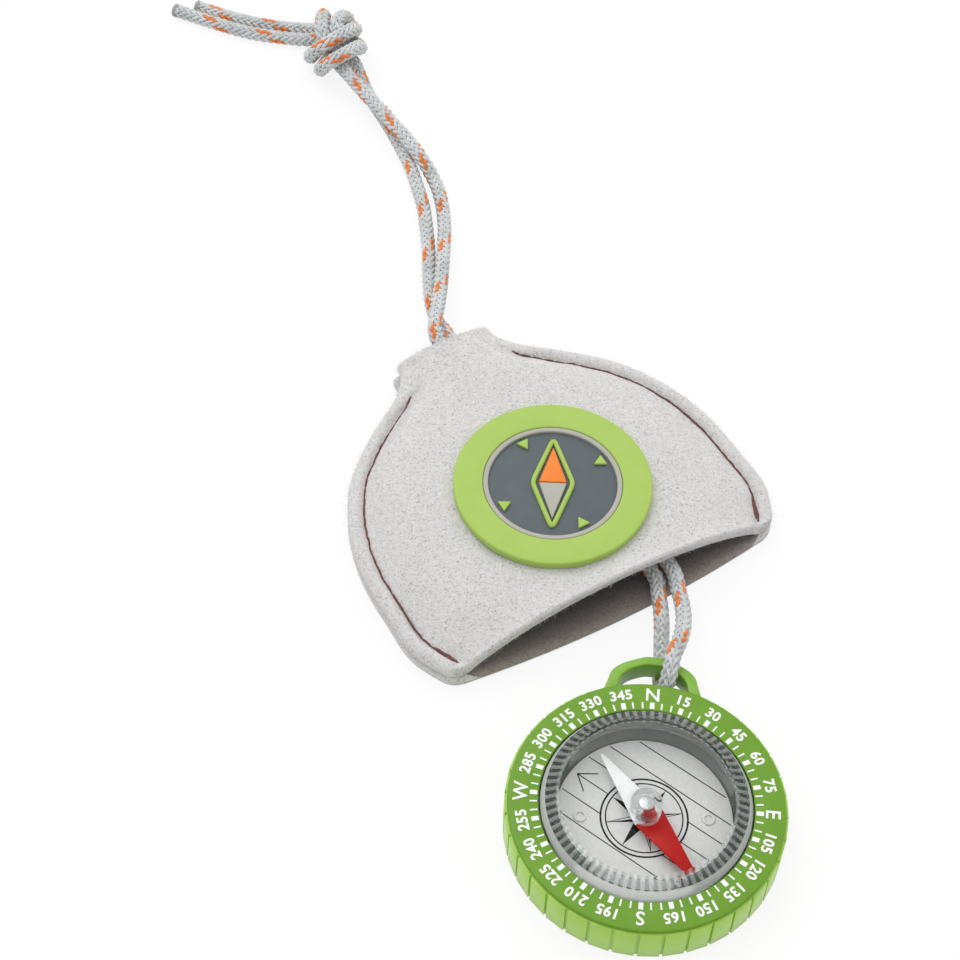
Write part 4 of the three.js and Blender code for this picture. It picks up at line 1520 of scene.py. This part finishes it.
    def stitches(self, side: Side, base: float, up: int, name: str) -> Piece:
        """Stitches along one sewing line, with a few close ones at each end.

        Args:
            side: Which side of the pouch.
            base: Height of the felt at the line.
            up: 1 on the front and -1 on the back.
            name: Name of the piece.

        Returns:
            The piece.
        """
        rng = np.random.default_rng(SEED + side.value + 10 * up)
        line = self.seam_points(side, self.stitch)
        form = Form()
        stations, heights, sizes = STITCH
        pairs = list(zip(line[:-1], line[1:]))
        single = len(pairs)
        for end in (0, -1):
            start, stop = pairs[end]
            for number in range(self.back_stitches):
                across = np.array([start[1] - stop[1], stop[0] - start[0], 0]) * rng.uniform(-0.07, 0.07)
                near = start + (stop - start) * (number - 1) / 3 * (1 if end == 0 else -1) + across
                pairs.append((near - 0.4 * (stop - start), near + 0.4 * (stop - start)))
        for number, (start, stop) in enumerate(pairs):
            way = stop - start
            sway = np.array([-way[1], way[0], 0]) / np.linalg.norm(way) * rng.normal(0, 0.06)
            path = start + stations[:, None] * way + sway * np.sin(math.pi * stations)[:, None]
            path = np.column_stack([path[:, :2], base + (path[:, 2] if up > 0 else 0) + up * heights])
            thick = 1 if number < single else self.back_thickness
            verts, faces = rod(path, self.thread_radius * sizes * thick, 6)
            form.add((turned(verts, self.turn, self.origin), faces), strip=np.column_stack(
                [np.tile(np.arange(6) / 6, len(path)), np.repeat(stations, 6)]))
        return form.make(name, self.thread, sharp=60)

    def fuzz(self) -> Piece:
        """Loose fibres that stand up from the felt.

        Returns:
            The piece.
        """
        rng = np.random.default_rng(SEED)
        u, v, _, _, _, high = self.front_places()
        top = self.place(u, v - self.dip(u, v), high)
        rows, columns = u.shape
        sheet = top.reshape(rows, columns, 3)
        ring = np.concatenate([sheet[0], sheet[:, -1], sheet[-1][::-1], sheet[:, 0][::-1]])
        travel = np.concatenate([[0], np.cumsum(np.linalg.norm(np.diff(ring, axis=0), axis=1))])
        even = rng.uniform(0, travel[-1], self.fibre_count)
        edge = np.column_stack([np.interp(even, travel, ring[:, k]) for k in range(3)])
        middle = top.mean(0)
        form = Form()
        inside = rng.uniform(size=(self.fibre_count, 2))
        for number in range(self.fibre_count):
            if number % 3 == 0:
                root = edge[number] + rng.normal(0, 0.3, 3) * np.array([1, 1, 0.8])
                away = root - middle
                lean = np.array([away[0], away[1], 0]) / np.hypot(away[0], away[1]) + rng.normal(0, 0.7, 3)
                reach = rng.uniform(*self.edge_reach)
            else:
                i = int(inside[number, 0] * (rows - 1))
                j = int(inside[number, 1] * (columns - 1))
                s, t = rng.uniform(size=2)
                root = (sheet[i, j] * (1 - s) * (1 - t) + sheet[i + 1, j] * s * (1 - t)
                        + sheet[i, j + 1] * (1 - s) * t + sheet[i + 1, j + 1] * s * t)
                lean = np.append(rng.normal(0, 1, 2), rng.uniform(0.05, 0.5))
                reach = rng.uniform(*self.face_reach)
            lean = lean / np.linalg.norm(lean)
            curl = rng.normal(0, self.fibre_curl, 3)
            width = np.cross(lean, rng.normal(0, 1, 3))
            width = width / np.linalg.norm(width) * rng.uniform(*self.fibre_half)
            mid = root + lean * reach * 0.5 + curl * 0.5
            end = root + lean * reach + curl * 0.3
            end[2] = max(end[2], 0.1)
            verts = np.array([root - width, root + width, mid + width * 0.8, mid - width * 0.8, end])
            form.add((verts, [(0, 1, 2, 3), (3, 2, 4)]))
        return form.make("felt_fibres", self.fibre, merge=False)

    def build(self) -> None:
        """Make and dress the pouch's pieces."""
        front = dress(self.front(), Body.POUCH, Slot.FELT, "felt_front")
        back = dress(self.back(), Body.POUCH, Slot.FELT, "felt_back")
        fuzz = dress(self.fuzz(), Body.POUCH, Slot.FELT)
        over = 2 * self.thickness + self.gap + self.slack - self.crease_depth + 0.15
        for side in Side:
            for part, base, up in (("top", over, 1), ("under", self.crease_depth - 0.2, -1)):
                name = f"{part}_{side.name.lower()}"
                piece = self.stitches(side, base, up, f"stitches_{name}")
                dress(piece, Body.POUCH, Slot.THREAD, f"seam_{name}")


@dataclass
class Badge:
    """Soft rubber badge: green rim, grey ring, slate field and a raised pointer."""

    pouch: Pouch
    centre: Pair = (0.2, 24.8)
    base: float = 10.55
    rim: Outline = (
        (0, 0, 0), (19.1, 0, 0.2), (19.25, 1.85, 0.5), (13.5, 1.85, 0.35), (13.5, 0.75, 0.1), (0, 0.75, 0))
    ring: Outline = ((12.45, 0.7, 0), (13.45, 0.7, 0), (13.45, 1.75, 0.3), (12.45, 1.7, 0.3))
    field: Outline = ((0, 0.7, 0), (12.55, 0.7, 0), (12.55, 1.1, 0.05), (0, 1.1, 0))
    pointer_length: float = 8.6
    pointer_width: float = 2.7
    pointer_turn: float = -32
    pointer_foot: float = 0.1
    pointer_top: float = 1.8
    pointer_edge: float = 0.22
    border_margin: Pair = (1.25, 2.2)
    border_round: float = 1.2
    border_level: float = 1.42
    border_radius: float = 0.5
    point_outline: tuple[Pair, ...] = ((-1.3, 11.6), (0, 9.3), (1.3, 11.6))
    point_top: float = 1.75
    point_edge: float = 0.2
    relief_low: float = 1.05
    green: Finish = MouldedPlastic("badge_rubber_green", (166, 196, 90), (161, 192, 84), (0.5, 0.62))
    slate: Finish = MouldedPlastic("badge_rubber_slate", (86, 95, 100), (81, 90, 95), (0.5, 0.62))
    grey: Finish = MouldedPlastic("badge_rubber_grey", (176, 174, 164), (170, 168, 158), (0.5, 0.62))
    orange: Finish = MouldedPlastic("badge_rubber_orange", (240, 130, 28), (235, 122, 22), (0.45, 0.6))

    def at(self, mesh: Mesh) -> Mesh:
        """Move a mesh of the badge to its place on the pouch.

        Args:
            mesh: Its vertices and faces about the badge's centre.

        Returns:
            The moved mesh.
        """
        verts = np.array(mesh[0], float)
        verts[:, 2] += self.base
        verts = turned(verts, 0, self.centre)
        return turned(verts, self.pouch.turn, self.pouch.origin), mesh[1]

    def plate(self, name: str, outline: Array, top: float, edge: float, rubber: Finish) -> Piece:
        """Raised plate with rounded edges."""
        mesh = self.at(prism(outline, self.relief_low, top))
        return soften(Form().add(mesh).make(name, rubber), edge, 3)

    def border(self) -> None:
        """Raised green line round the pointer."""
        aside, ahead = self.border_margin
        wide, long, bend = self.pointer_width + aside, self.pointer_length + ahead, self.border_round
        line = fillet([(wide, 0, bend), (0, long, bend), (-wide, 0, bend), (0, -long, bend)], 6)
        closed = np.vstack([line, line[:1]])
        path = spline(np.column_stack([closed, np.full(len(closed), self.border_level)]), 0.5)
        mesh = rod(turned(path, self.pointer_turn), self.border_radius, 10)
        piece = Form().add(self.at(mesh)).make("badge_border", self.green, sharp=60)
        dress(piece, Body.POUCH, Slot.BADGE_GREEN)

    def build(self) -> None:
        """Make and dress the badge's pieces."""
        for name, outline, segments, steps, rubber, slot, node in (
            ("badge_rim", self.rim, 4, 180, self.green, Slot.BADGE_GREEN, "badge_body"),
            ("badge_band", self.ring, 4, 160, self.grey, Slot.BADGE_GREY, "badge_ring"),
            ("badge_floor", self.field, 3, 120, self.slate, Slot.BADGE_SLATE, "badge_field"),
        ):
            disc = Form().add(self.at(lathe(fillet(outline, segments), steps)))
            dress(disc.make(name, rubber), Body.POUCH, slot, node)
        wide, foot = self.pointer_width, self.pointer_foot
        half = np.array([(-wide, foot), (wide, foot), (0, self.pointer_length)])
        for name, outline, rubber, slot, node in (
            ("badge_north", half, self.orange, Slot.BADGE_ORANGE, "badge_pointer_orange"),
            ("badge_south", (half * (1, -1))[::-1], self.grey, Slot.BADGE_GREY, "badge_pointer_grey"),
        ):
            outline = turned(outline, self.pointer_turn)
            piece = self.plate(name, outline, self.pointer_top, self.pointer_edge, rubber)
            dress(piece, Body.POUCH, slot, node)
        self.border()
        for number in range(4):
            outline = turned(np.array(self.point_outline), 90 * number)
            name = f"badge_mark_{number + 1}"
            piece = self.plate(name, outline, self.point_top, self.point_edge, self.green)
            dress(piece, Body.POUCH, Slot.BADGE_GREEN, f"badge_point_{number + 1}")


UPPER_B = [
    (-80.4, 186.6, 5.6), (-74.7, 179.1, 5.3), (-71.2, 175, 5.1), (-68.8, 172.3, 5), (-66.4, 169.3, 5.15),
    (-63.9, 166.2, 5.2), (-61.4, 163.3, 5.1), (-59, 160.3, 4.55), (-56.6, 157.5, 3.6), (-54.6, 155, 2.1),
    (-53, 151.8, 1.75), (-51.5, 146.9, 1.7), (-50.4, 141.1, 1.8), (-49.8, 134.3, 2.7), (-49.4, 127.7, 3.6),
    (-49.1, 121.6, 4.1), (-49, 115.2, 5.2), (-49, 109.5, 6.2), (-48.4, 105.4, 6.2),
]
INNER_B = [(-42.5, 96.8, 6.1), (-33.2, 86.3, 5.5), (-21.9, 74.7, 4.8), (-9.9, 62.3, 4.6), (-0.4, 51.2, 4.6)]
LOWER_B = [(0.1, 48.5, 4.7), (0.7, 45, 4.8), (1.15, 41, 4.5), (1.4, 37.5, 3.1), (1.6, 34, 1.95)]
LOWER_A = [(4.3, 34, 9.75), (4.9, 38, 8.75), (4.8, 42.5, 7.5), (3.9, 47.5, 6.4), (2.45, 52.7, 6.05)]
INNER_A = [(-6.4, 63.6, 5.2), (-17.8, 75.1, 4.4), (-30.6, 88.1, 4.2), (-40.3, 98.4, 4.2)]
UPPER_A = [
    (-46.2, 107.8, 4.1), (-48.8, 112.9, 2), (-50.7, 118.1, 1.65), (-51.7, 123.5, 1.65),
    (-52.5, 129.2, 1.65), (-53.3, 134.9, 1.65), (-54.4, 140.6, 1.65), (-55.7, 146.4, 1.65),
    (-57.1, 150.6, 1.65), (-60.1, 158.5, 1.65), (-62.1, 162.6, 1.65), (-64.4, 167, 1.65),
    (-66.2, 170.1, 1.65), (-69.6, 175.7, 1.65), (-72.4, 180.6, 1.8), (-74.1, 183.9, 2.6), (-76.3, 187.4, 3.8),
]
KNOT_A = [
    (-79.5, 189.6, 4.8), (-82.0, 189.0, 6.4), (-83.5, 190.4, 8.3), (-84.3, 194.4, 8.6), (-84.6, 198.4, 7.2),
    (-84.6, 200.2, 5.0), (-84.6, 198.0, 2.4), (-85.2, 193.5, 1.7), (-86.2, 189.8, 2.4), (-86.0, 187.4, 4.6),
    (-84.4, 186.2, 7.4), (-82.1, 186.4, 9.4), (-79.6, 188.7, 9.8), (-77.5, 192.5, 8.6), (-76.8, 195.6, 6.2),
    (-78.4, 196.2, 4.0),
]
KNOT_B = [
    (-81.4, 189.4, 6.0), (-80.8, 191.6, 7.8), (-80.8, 194.2, 8.7), (-80.3, 197.8, 7.6), (-79.0, 199.6, 5.6),
    (-79.4, 198.2, 3.0), (-81.4, 193.0, 1.7), (-83.0, 187.6, 1.7), (-83.4, 184.6, 3.2), (-82.6, 182.8, 5.6),
    (-81.0, 182.2, 7.6), (-78.8, 182.8, 9.1), (-76.8, 184.9, 9.1), (-75.4, 187.8, 7.8), (-75.0, 190.6, 5.4),
    (-76.6, 193.8, 3.6), (-79.6, 196.4, 3.6),
]
TAIL_A = [
    (-83.5, 197.6, 3.6), (-87.2, 198.8, 2.2), (-91.5, 199.3, 1.65), (-95.7, 199.4, 1.65),
    (-102.5, 200.3, 1.65), (-109.4, 202.1, 1.65), (-115.6, 204.1, 1.65),
]
TAIL_B = [
    (-83.2, 195.2, 3.4), (-87.3, 195.4, 2.2), (-91.9, 195.8, 1.65), (-95.2, 195.9, 1.65),
    (-101.8, 196.6, 1.65), (-108.7, 198.4, 1.65), (-115.8, 200.7, 1.65), (-120.5, 202.3, 1.65),
]


# Share of a melted end's length, and share of the cord's radius there.
SEALED_END = [(0, 0.7), (0.06, 0.86), (0.2, 0.95), (0.5, 0.98), (0.8, 0.95), (1, 0.8)]


@dataclass
class Lanyard:
    """Braided cord, doubled: from one tail through the knot, the pouch and the loop, and back."""

    radius: float = 1.6
    yarns: int = 8
    pitch: float = 13.4
    mean_radius: float = 1.22
    weave: float = 0.24
    yarn_width: float = 0.75
    yarn_height: float = 0.4
    step: float = 0.35
    core_radius: float = 1.08
    knot_centre: Triple = (-80.6, 191, 5)
    knot_reach: float = 9
    knot_swell: float = 0.1
    yarn_taper: float = 1.2
    sealed: float = 1.1
    bight_centre: Pair = (30.1, 6.1)
    bight_radius: float = 4.45
    bight_from: float = 1.6
    bight_shift: float = 1.6
    orange_yarns: tuple[int, ...] = (0, 1)
    lowest: float = 0.02
    grey: Finish = Yarn("grey_yarn", (214, 217, 217), (162, 167, 169))
    orange: Finish = Yarn("orange_yarn", (236, 130, 46), (206, 98, 28))
    # Near-black core that shows between the yarns: painted shade in the gaps of the braid.
    core_painted_shade: Finish = Yarn("cord_core_painted_shade", (36, 38, 40), (26, 28, 30), 0.0)
    seal: Finish = MouldedPlastic("sealed_end", (166, 167, 166), (140, 141, 140), (0.5, 0.65), 0.4, 0.03)

    def bight(self) -> list[Triple]:
        """Half turn round the loop's bar, from its underside to its top.

        Returns:
            Its points.
        """
        y, z = self.bight_centre
        points = []
        for share in np.linspace(0, 1, 9):
            angle = math.pi * (1.5 - share)
            x = self.bight_from + self.bight_shift * share
            points.append((x, y + self.bight_radius * math.cos(angle),
                           z + self.bight_radius * math.sin(angle)))
        return points

    def route(self) -> Array:
        """Points that the whole cord passes through.

        Returns:
            The points, from tail to tail.
        """
        first = TAIL_B[::-1] + KNOT_A[::-1] + UPPER_A[::-1] + INNER_A[::-1] + LOWER_A[::-1]
        second = LOWER_B[::-1] + INNER_B[::-1] + UPPER_B[::-1] + KNOT_B + TAIL_A
        return np.array(first + self.bight()[::-1] + second, float)

    def swell(self, line: Array) -> Array:
        """Factor on the cord's thickness along the line: its yarns spread a little in the knot."""
        away = np.linalg.norm(line - np.array(self.knot_centre), axis=1)
        return 1 + self.knot_swell * np.exp(-((away / self.knot_reach) ** 6))

    def yarn(self, line: Array, frames: tuple[Array, ...], lay: Lay, number: int) -> tuple[Mesh, Array]:
        """One flat yarn of the braid.

        Args:
            line: Points along the cord.
            frames: Directions along and across it.
            lay: Which way the yarn turns.
            number: Its place among the yarns of that way.

        Returns:
            Its mesh and strip coordinates.
        """
        _, across, up = frames
        along = np.arange(len(line)) * self.step
        angle = lay.value * 2 * math.pi * along / self.pitch + number * 2 * math.pi / self.yarns
        phase = math.pi / 4 if lay is Lay.S else 5 * math.pi / 4
        ends = np.minimum(along, along[-1] - along)
        taper = np.sqrt(np.clip(1 - np.clip(1 - ends / self.yarn_taper, 0, 1) ** 2, 0.05, 1))
        full = self.swell(line) * taper
        radius = (self.mean_radius + self.weave * np.cos(4 * angle - phase)) * full
        outward = across * np.cos(angle)[:, None] + up * np.sin(angle)[:, None]
        centre = line + outward * radius[:, None]
        way = np.gradient(centre, axis=0)
        way /= np.linalg.norm(way, axis=1)[:, None]
        side = np.cross(outward, way)
        side /= np.linalg.norm(side, axis=1)[:, None]
        profile = [(-0.5, -0.55), (-0.33, 0.16), (0, 0.4), (0.33, 0.16), (0.5, -0.55)]
        rows = []
        for width, height in profile:
            shift = (width * self.yarn_width * full)[:, None]
            rows.append(centre + side * shift + outward * height * self.yarn_height)
        verts = np.stack(rows, axis=1).reshape(-1, 3)
        verts[:, 2] = np.maximum(verts[:, 2], self.lowest)
        count = len(profile)
        across_yarn = np.tile(np.linspace(0, 1, count), len(line))
        strip = np.column_stack([across_yarn, np.repeat(along / 10, count)])
        return (verts, grid_faces(len(line), count)), strip

    def build(self) -> None:
        """Make and dress the cord."""
        line = spline(self.route(), self.step)
        frames = carried_frames(line)
        form = Form()
        for lay in Lay:
            for number in range(self.yarns):
                mesh, strip = self.yarn(line, frames, lay, number)
                marker = lay is Lay.S and number in self.orange_yarns
                form.add(mesh, 1 if marker else 0, strip)
        ends = np.minimum(np.arange(len(line)), np.arange(len(line))[::-1]) * self.step
        taper = np.sqrt(np.clip(1 - np.clip(1 - ends, 0, 1) ** 2, 0.02, 1))
        # The core's near-black stands for the shade between the yarns.
        form.add(rod(line[::2], (self.core_radius * taper * self.swell(line))[::2], 10), 2)
        for end, after in ((line[0], line[8]), (line[-1], line[-9])):
            way = (after - end) / np.linalg.norm(after - end)
            path = np.array([end + way * self.sealed * t for t, _ in SEALED_END])
            form.add(rod(path, self.radius * np.array([size for _, size in SEALED_END]), 20), 3)
        finishes = self.grey, self.orange, self.core_painted_shade, self.seal
        cord = form.make("lanyard_cord", *finishes, sharp=70, merge=False)
        nodes = [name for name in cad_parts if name.startswith("cord_")]
        dress(cord, Body.CORD, Slot.CORD, *nodes)


@dataclass
class Studio:
    """Pale floor, soft light and the camera at the photograph's view."""

    position: Triple = (-19.29, -192.93, 354.74)
    pitch: float = 52.966
    roll: float = 2.287
    azimuth: float = -3.623
    focal_pixels: float = 2231.8
    frame_pixels: float = 960
    sensor: float = 36
    light_from: Triple = (-0.06, 0.42, 0.9)
    sky_range: Pair = (0.22, 1.18)
    lamp_place: Triple = (-0.32, 0.4, 0.75)
    lamp_aim: Triple = (-0.03, 0.09, 0)
    lamp_size: float = 0.6
    lamp_power: float = 2.0
    floor_glow: float = 0.86
    floor_half: float = 2500
    floor_level: float = -0.05

    def camera(self) -> None:
        """Place the camera."""
        az, p, roll = (math.radians(x) for x in (self.azimuth, self.pitch, self.roll))
        forward = Vector((math.sin(az) * math.cos(p), math.cos(az) * math.cos(p), -math.sin(p)))
        level = Vector((math.cos(az), -math.sin(az), 0))
        upright = level.cross(forward)
        right = math.cos(roll) * level + math.sin(roll) * upright
        up = -math.sin(roll) * level + math.cos(roll) * upright
        lens = bpy.data.cameras.new("view")
        lens.sensor_width = self.sensor
        lens.lens = self.focal_pixels * self.sensor / self.frame_pixels
        lens.clip_start = 0.01
        lens.clip_end = 20
        camera = bpy.data.objects.new("view", lens)
        axes = Matrix((right, up, -forward)).transposed().to_4x4()
        camera.matrix_world = Matrix.Translation(Vector(self.position) * MM) @ axes
        bpy.context.scene.collection.objects.link(camera)
        bpy.context.scene.camera = camera

    def seen(self, tree: bpy.types.NodeTree) -> Socket:
        """Socket that is 1 where the background is seen directly, mirrored or through glass.

        Args:
            tree: The node tree that needs it.

        Returns:
            The socket.
        """
        path = new_node(tree, "LightPath")
        total = path.outputs["Is Camera Ray"]
        for name in ("Is Glossy Ray", "Is Transmission Ray"):
            node = new_node(tree, "Math", None, {0: total, 1: path.outputs[name]})
            node.operation = "MAXIMUM"
            total = node.outputs[0]
        return total

    def sky_light(self) -> None:
        """White surroundings that light the object softly, strongest from above and behind."""
        world = bpy.data.worlds.new("surroundings")
        bpy.context.scene.world = world
        world.use_nodes = True
        tree = world.node_tree
        ground = tree.nodes["Background"]
        ground.inputs["Color"].default_value = (1, 1, 1, 1)
        coords = new_node(tree, "TexCoord")
        facing = new_node(tree, "VectorMath", {1: self.light_from}, {0: coords.outputs["Generated"]})
        facing.operation = "DOT_PRODUCT"
        dim, bright = self.sky_range
        levels = {"From Min": -0.5, "To Min": dim, "To Max": bright}
        level = new_node(tree, "MapRange", levels, {"Value": facing.outputs["Value"]})
        mix = new_node(tree, "Mix", {3: 1.0}, {0: self.seen(tree), 2: level.outputs["Result"]})
        tree.links.new(mix.outputs[0], ground.inputs["Strength"])

    def floor(self) -> None:
        """Pale table under the object, which keeps a soft shadow."""
        half, z = self.floor_half, self.floor_level
        corners = np.array([(-half, -half, z), (half, -half, z), (half, half, z), (-half, half, z)])
        shader = Shader("table")
        tree = shader.tree
        grain = shader.noise(shader.place(), 40, 2)
        shader.colour(shader.ramp(grain, [(0.3, (246, 246, 246)), (0.7, (250, 250, 250))]))
        shader.constants({"Roughness": 0.9, "Specular IOR Level": 0.0})
        share = new_node(tree, "Math", {1: self.floor_glow}, {0: self.seen(tree)})
        share.operation = "MULTIPLY"
        white = new_node(tree, "Emission")
        layers = {0: share.outputs[0], 1: shader.surface.outputs[0], 2: white.outputs[0]}
        blend = new_node(tree, "MixShader", None, layers)
        shader.link(blend.outputs[0], tree.nodes["Material Output"].inputs["Surface"])
        table = Form().add((corners, [(0, 1, 2, 3)])).make("table")
        table.data.materials.append(shader.material)

    def lamp(self) -> None:
        """Large soft lamp that points at the object."""
        light = bpy.data.lights.new("soft_box", "AREA")
        light.size = self.lamp_size
        light.energy = self.lamp_power
        lamp = bpy.data.objects.new("soft_box", light)
        lamp.location = self.lamp_place
        way = Vector(self.lamp_aim) - Vector(self.lamp_place)
        lamp.rotation_euler = way.to_track_quat("-Z", "Y").to_euler()
        bpy.context.scene.collection.objects.link(lamp)

    def build(self) -> None:
        """Set up the view, the light and the floor."""
        bpy.context.scene.view_settings.view_transform = "Standard"
        self.camera()
        self.sky_light()
        self.floor()
        self.lamp()
        LOG.info("camera, light and floor are set")


def main() -> None:
    """Build the sub-assemblies in order."""
    logging.basicConfig(level=logging.INFO, format="%(name)s: %(message)s")
    pouch = Pouch()
    for assembly in (Studio(), Lanyard(), Housing(), Capsule(), Needle(), pouch, Badge(pouch)):
        assembly.build()


if __name__ == "__main__":
    main()
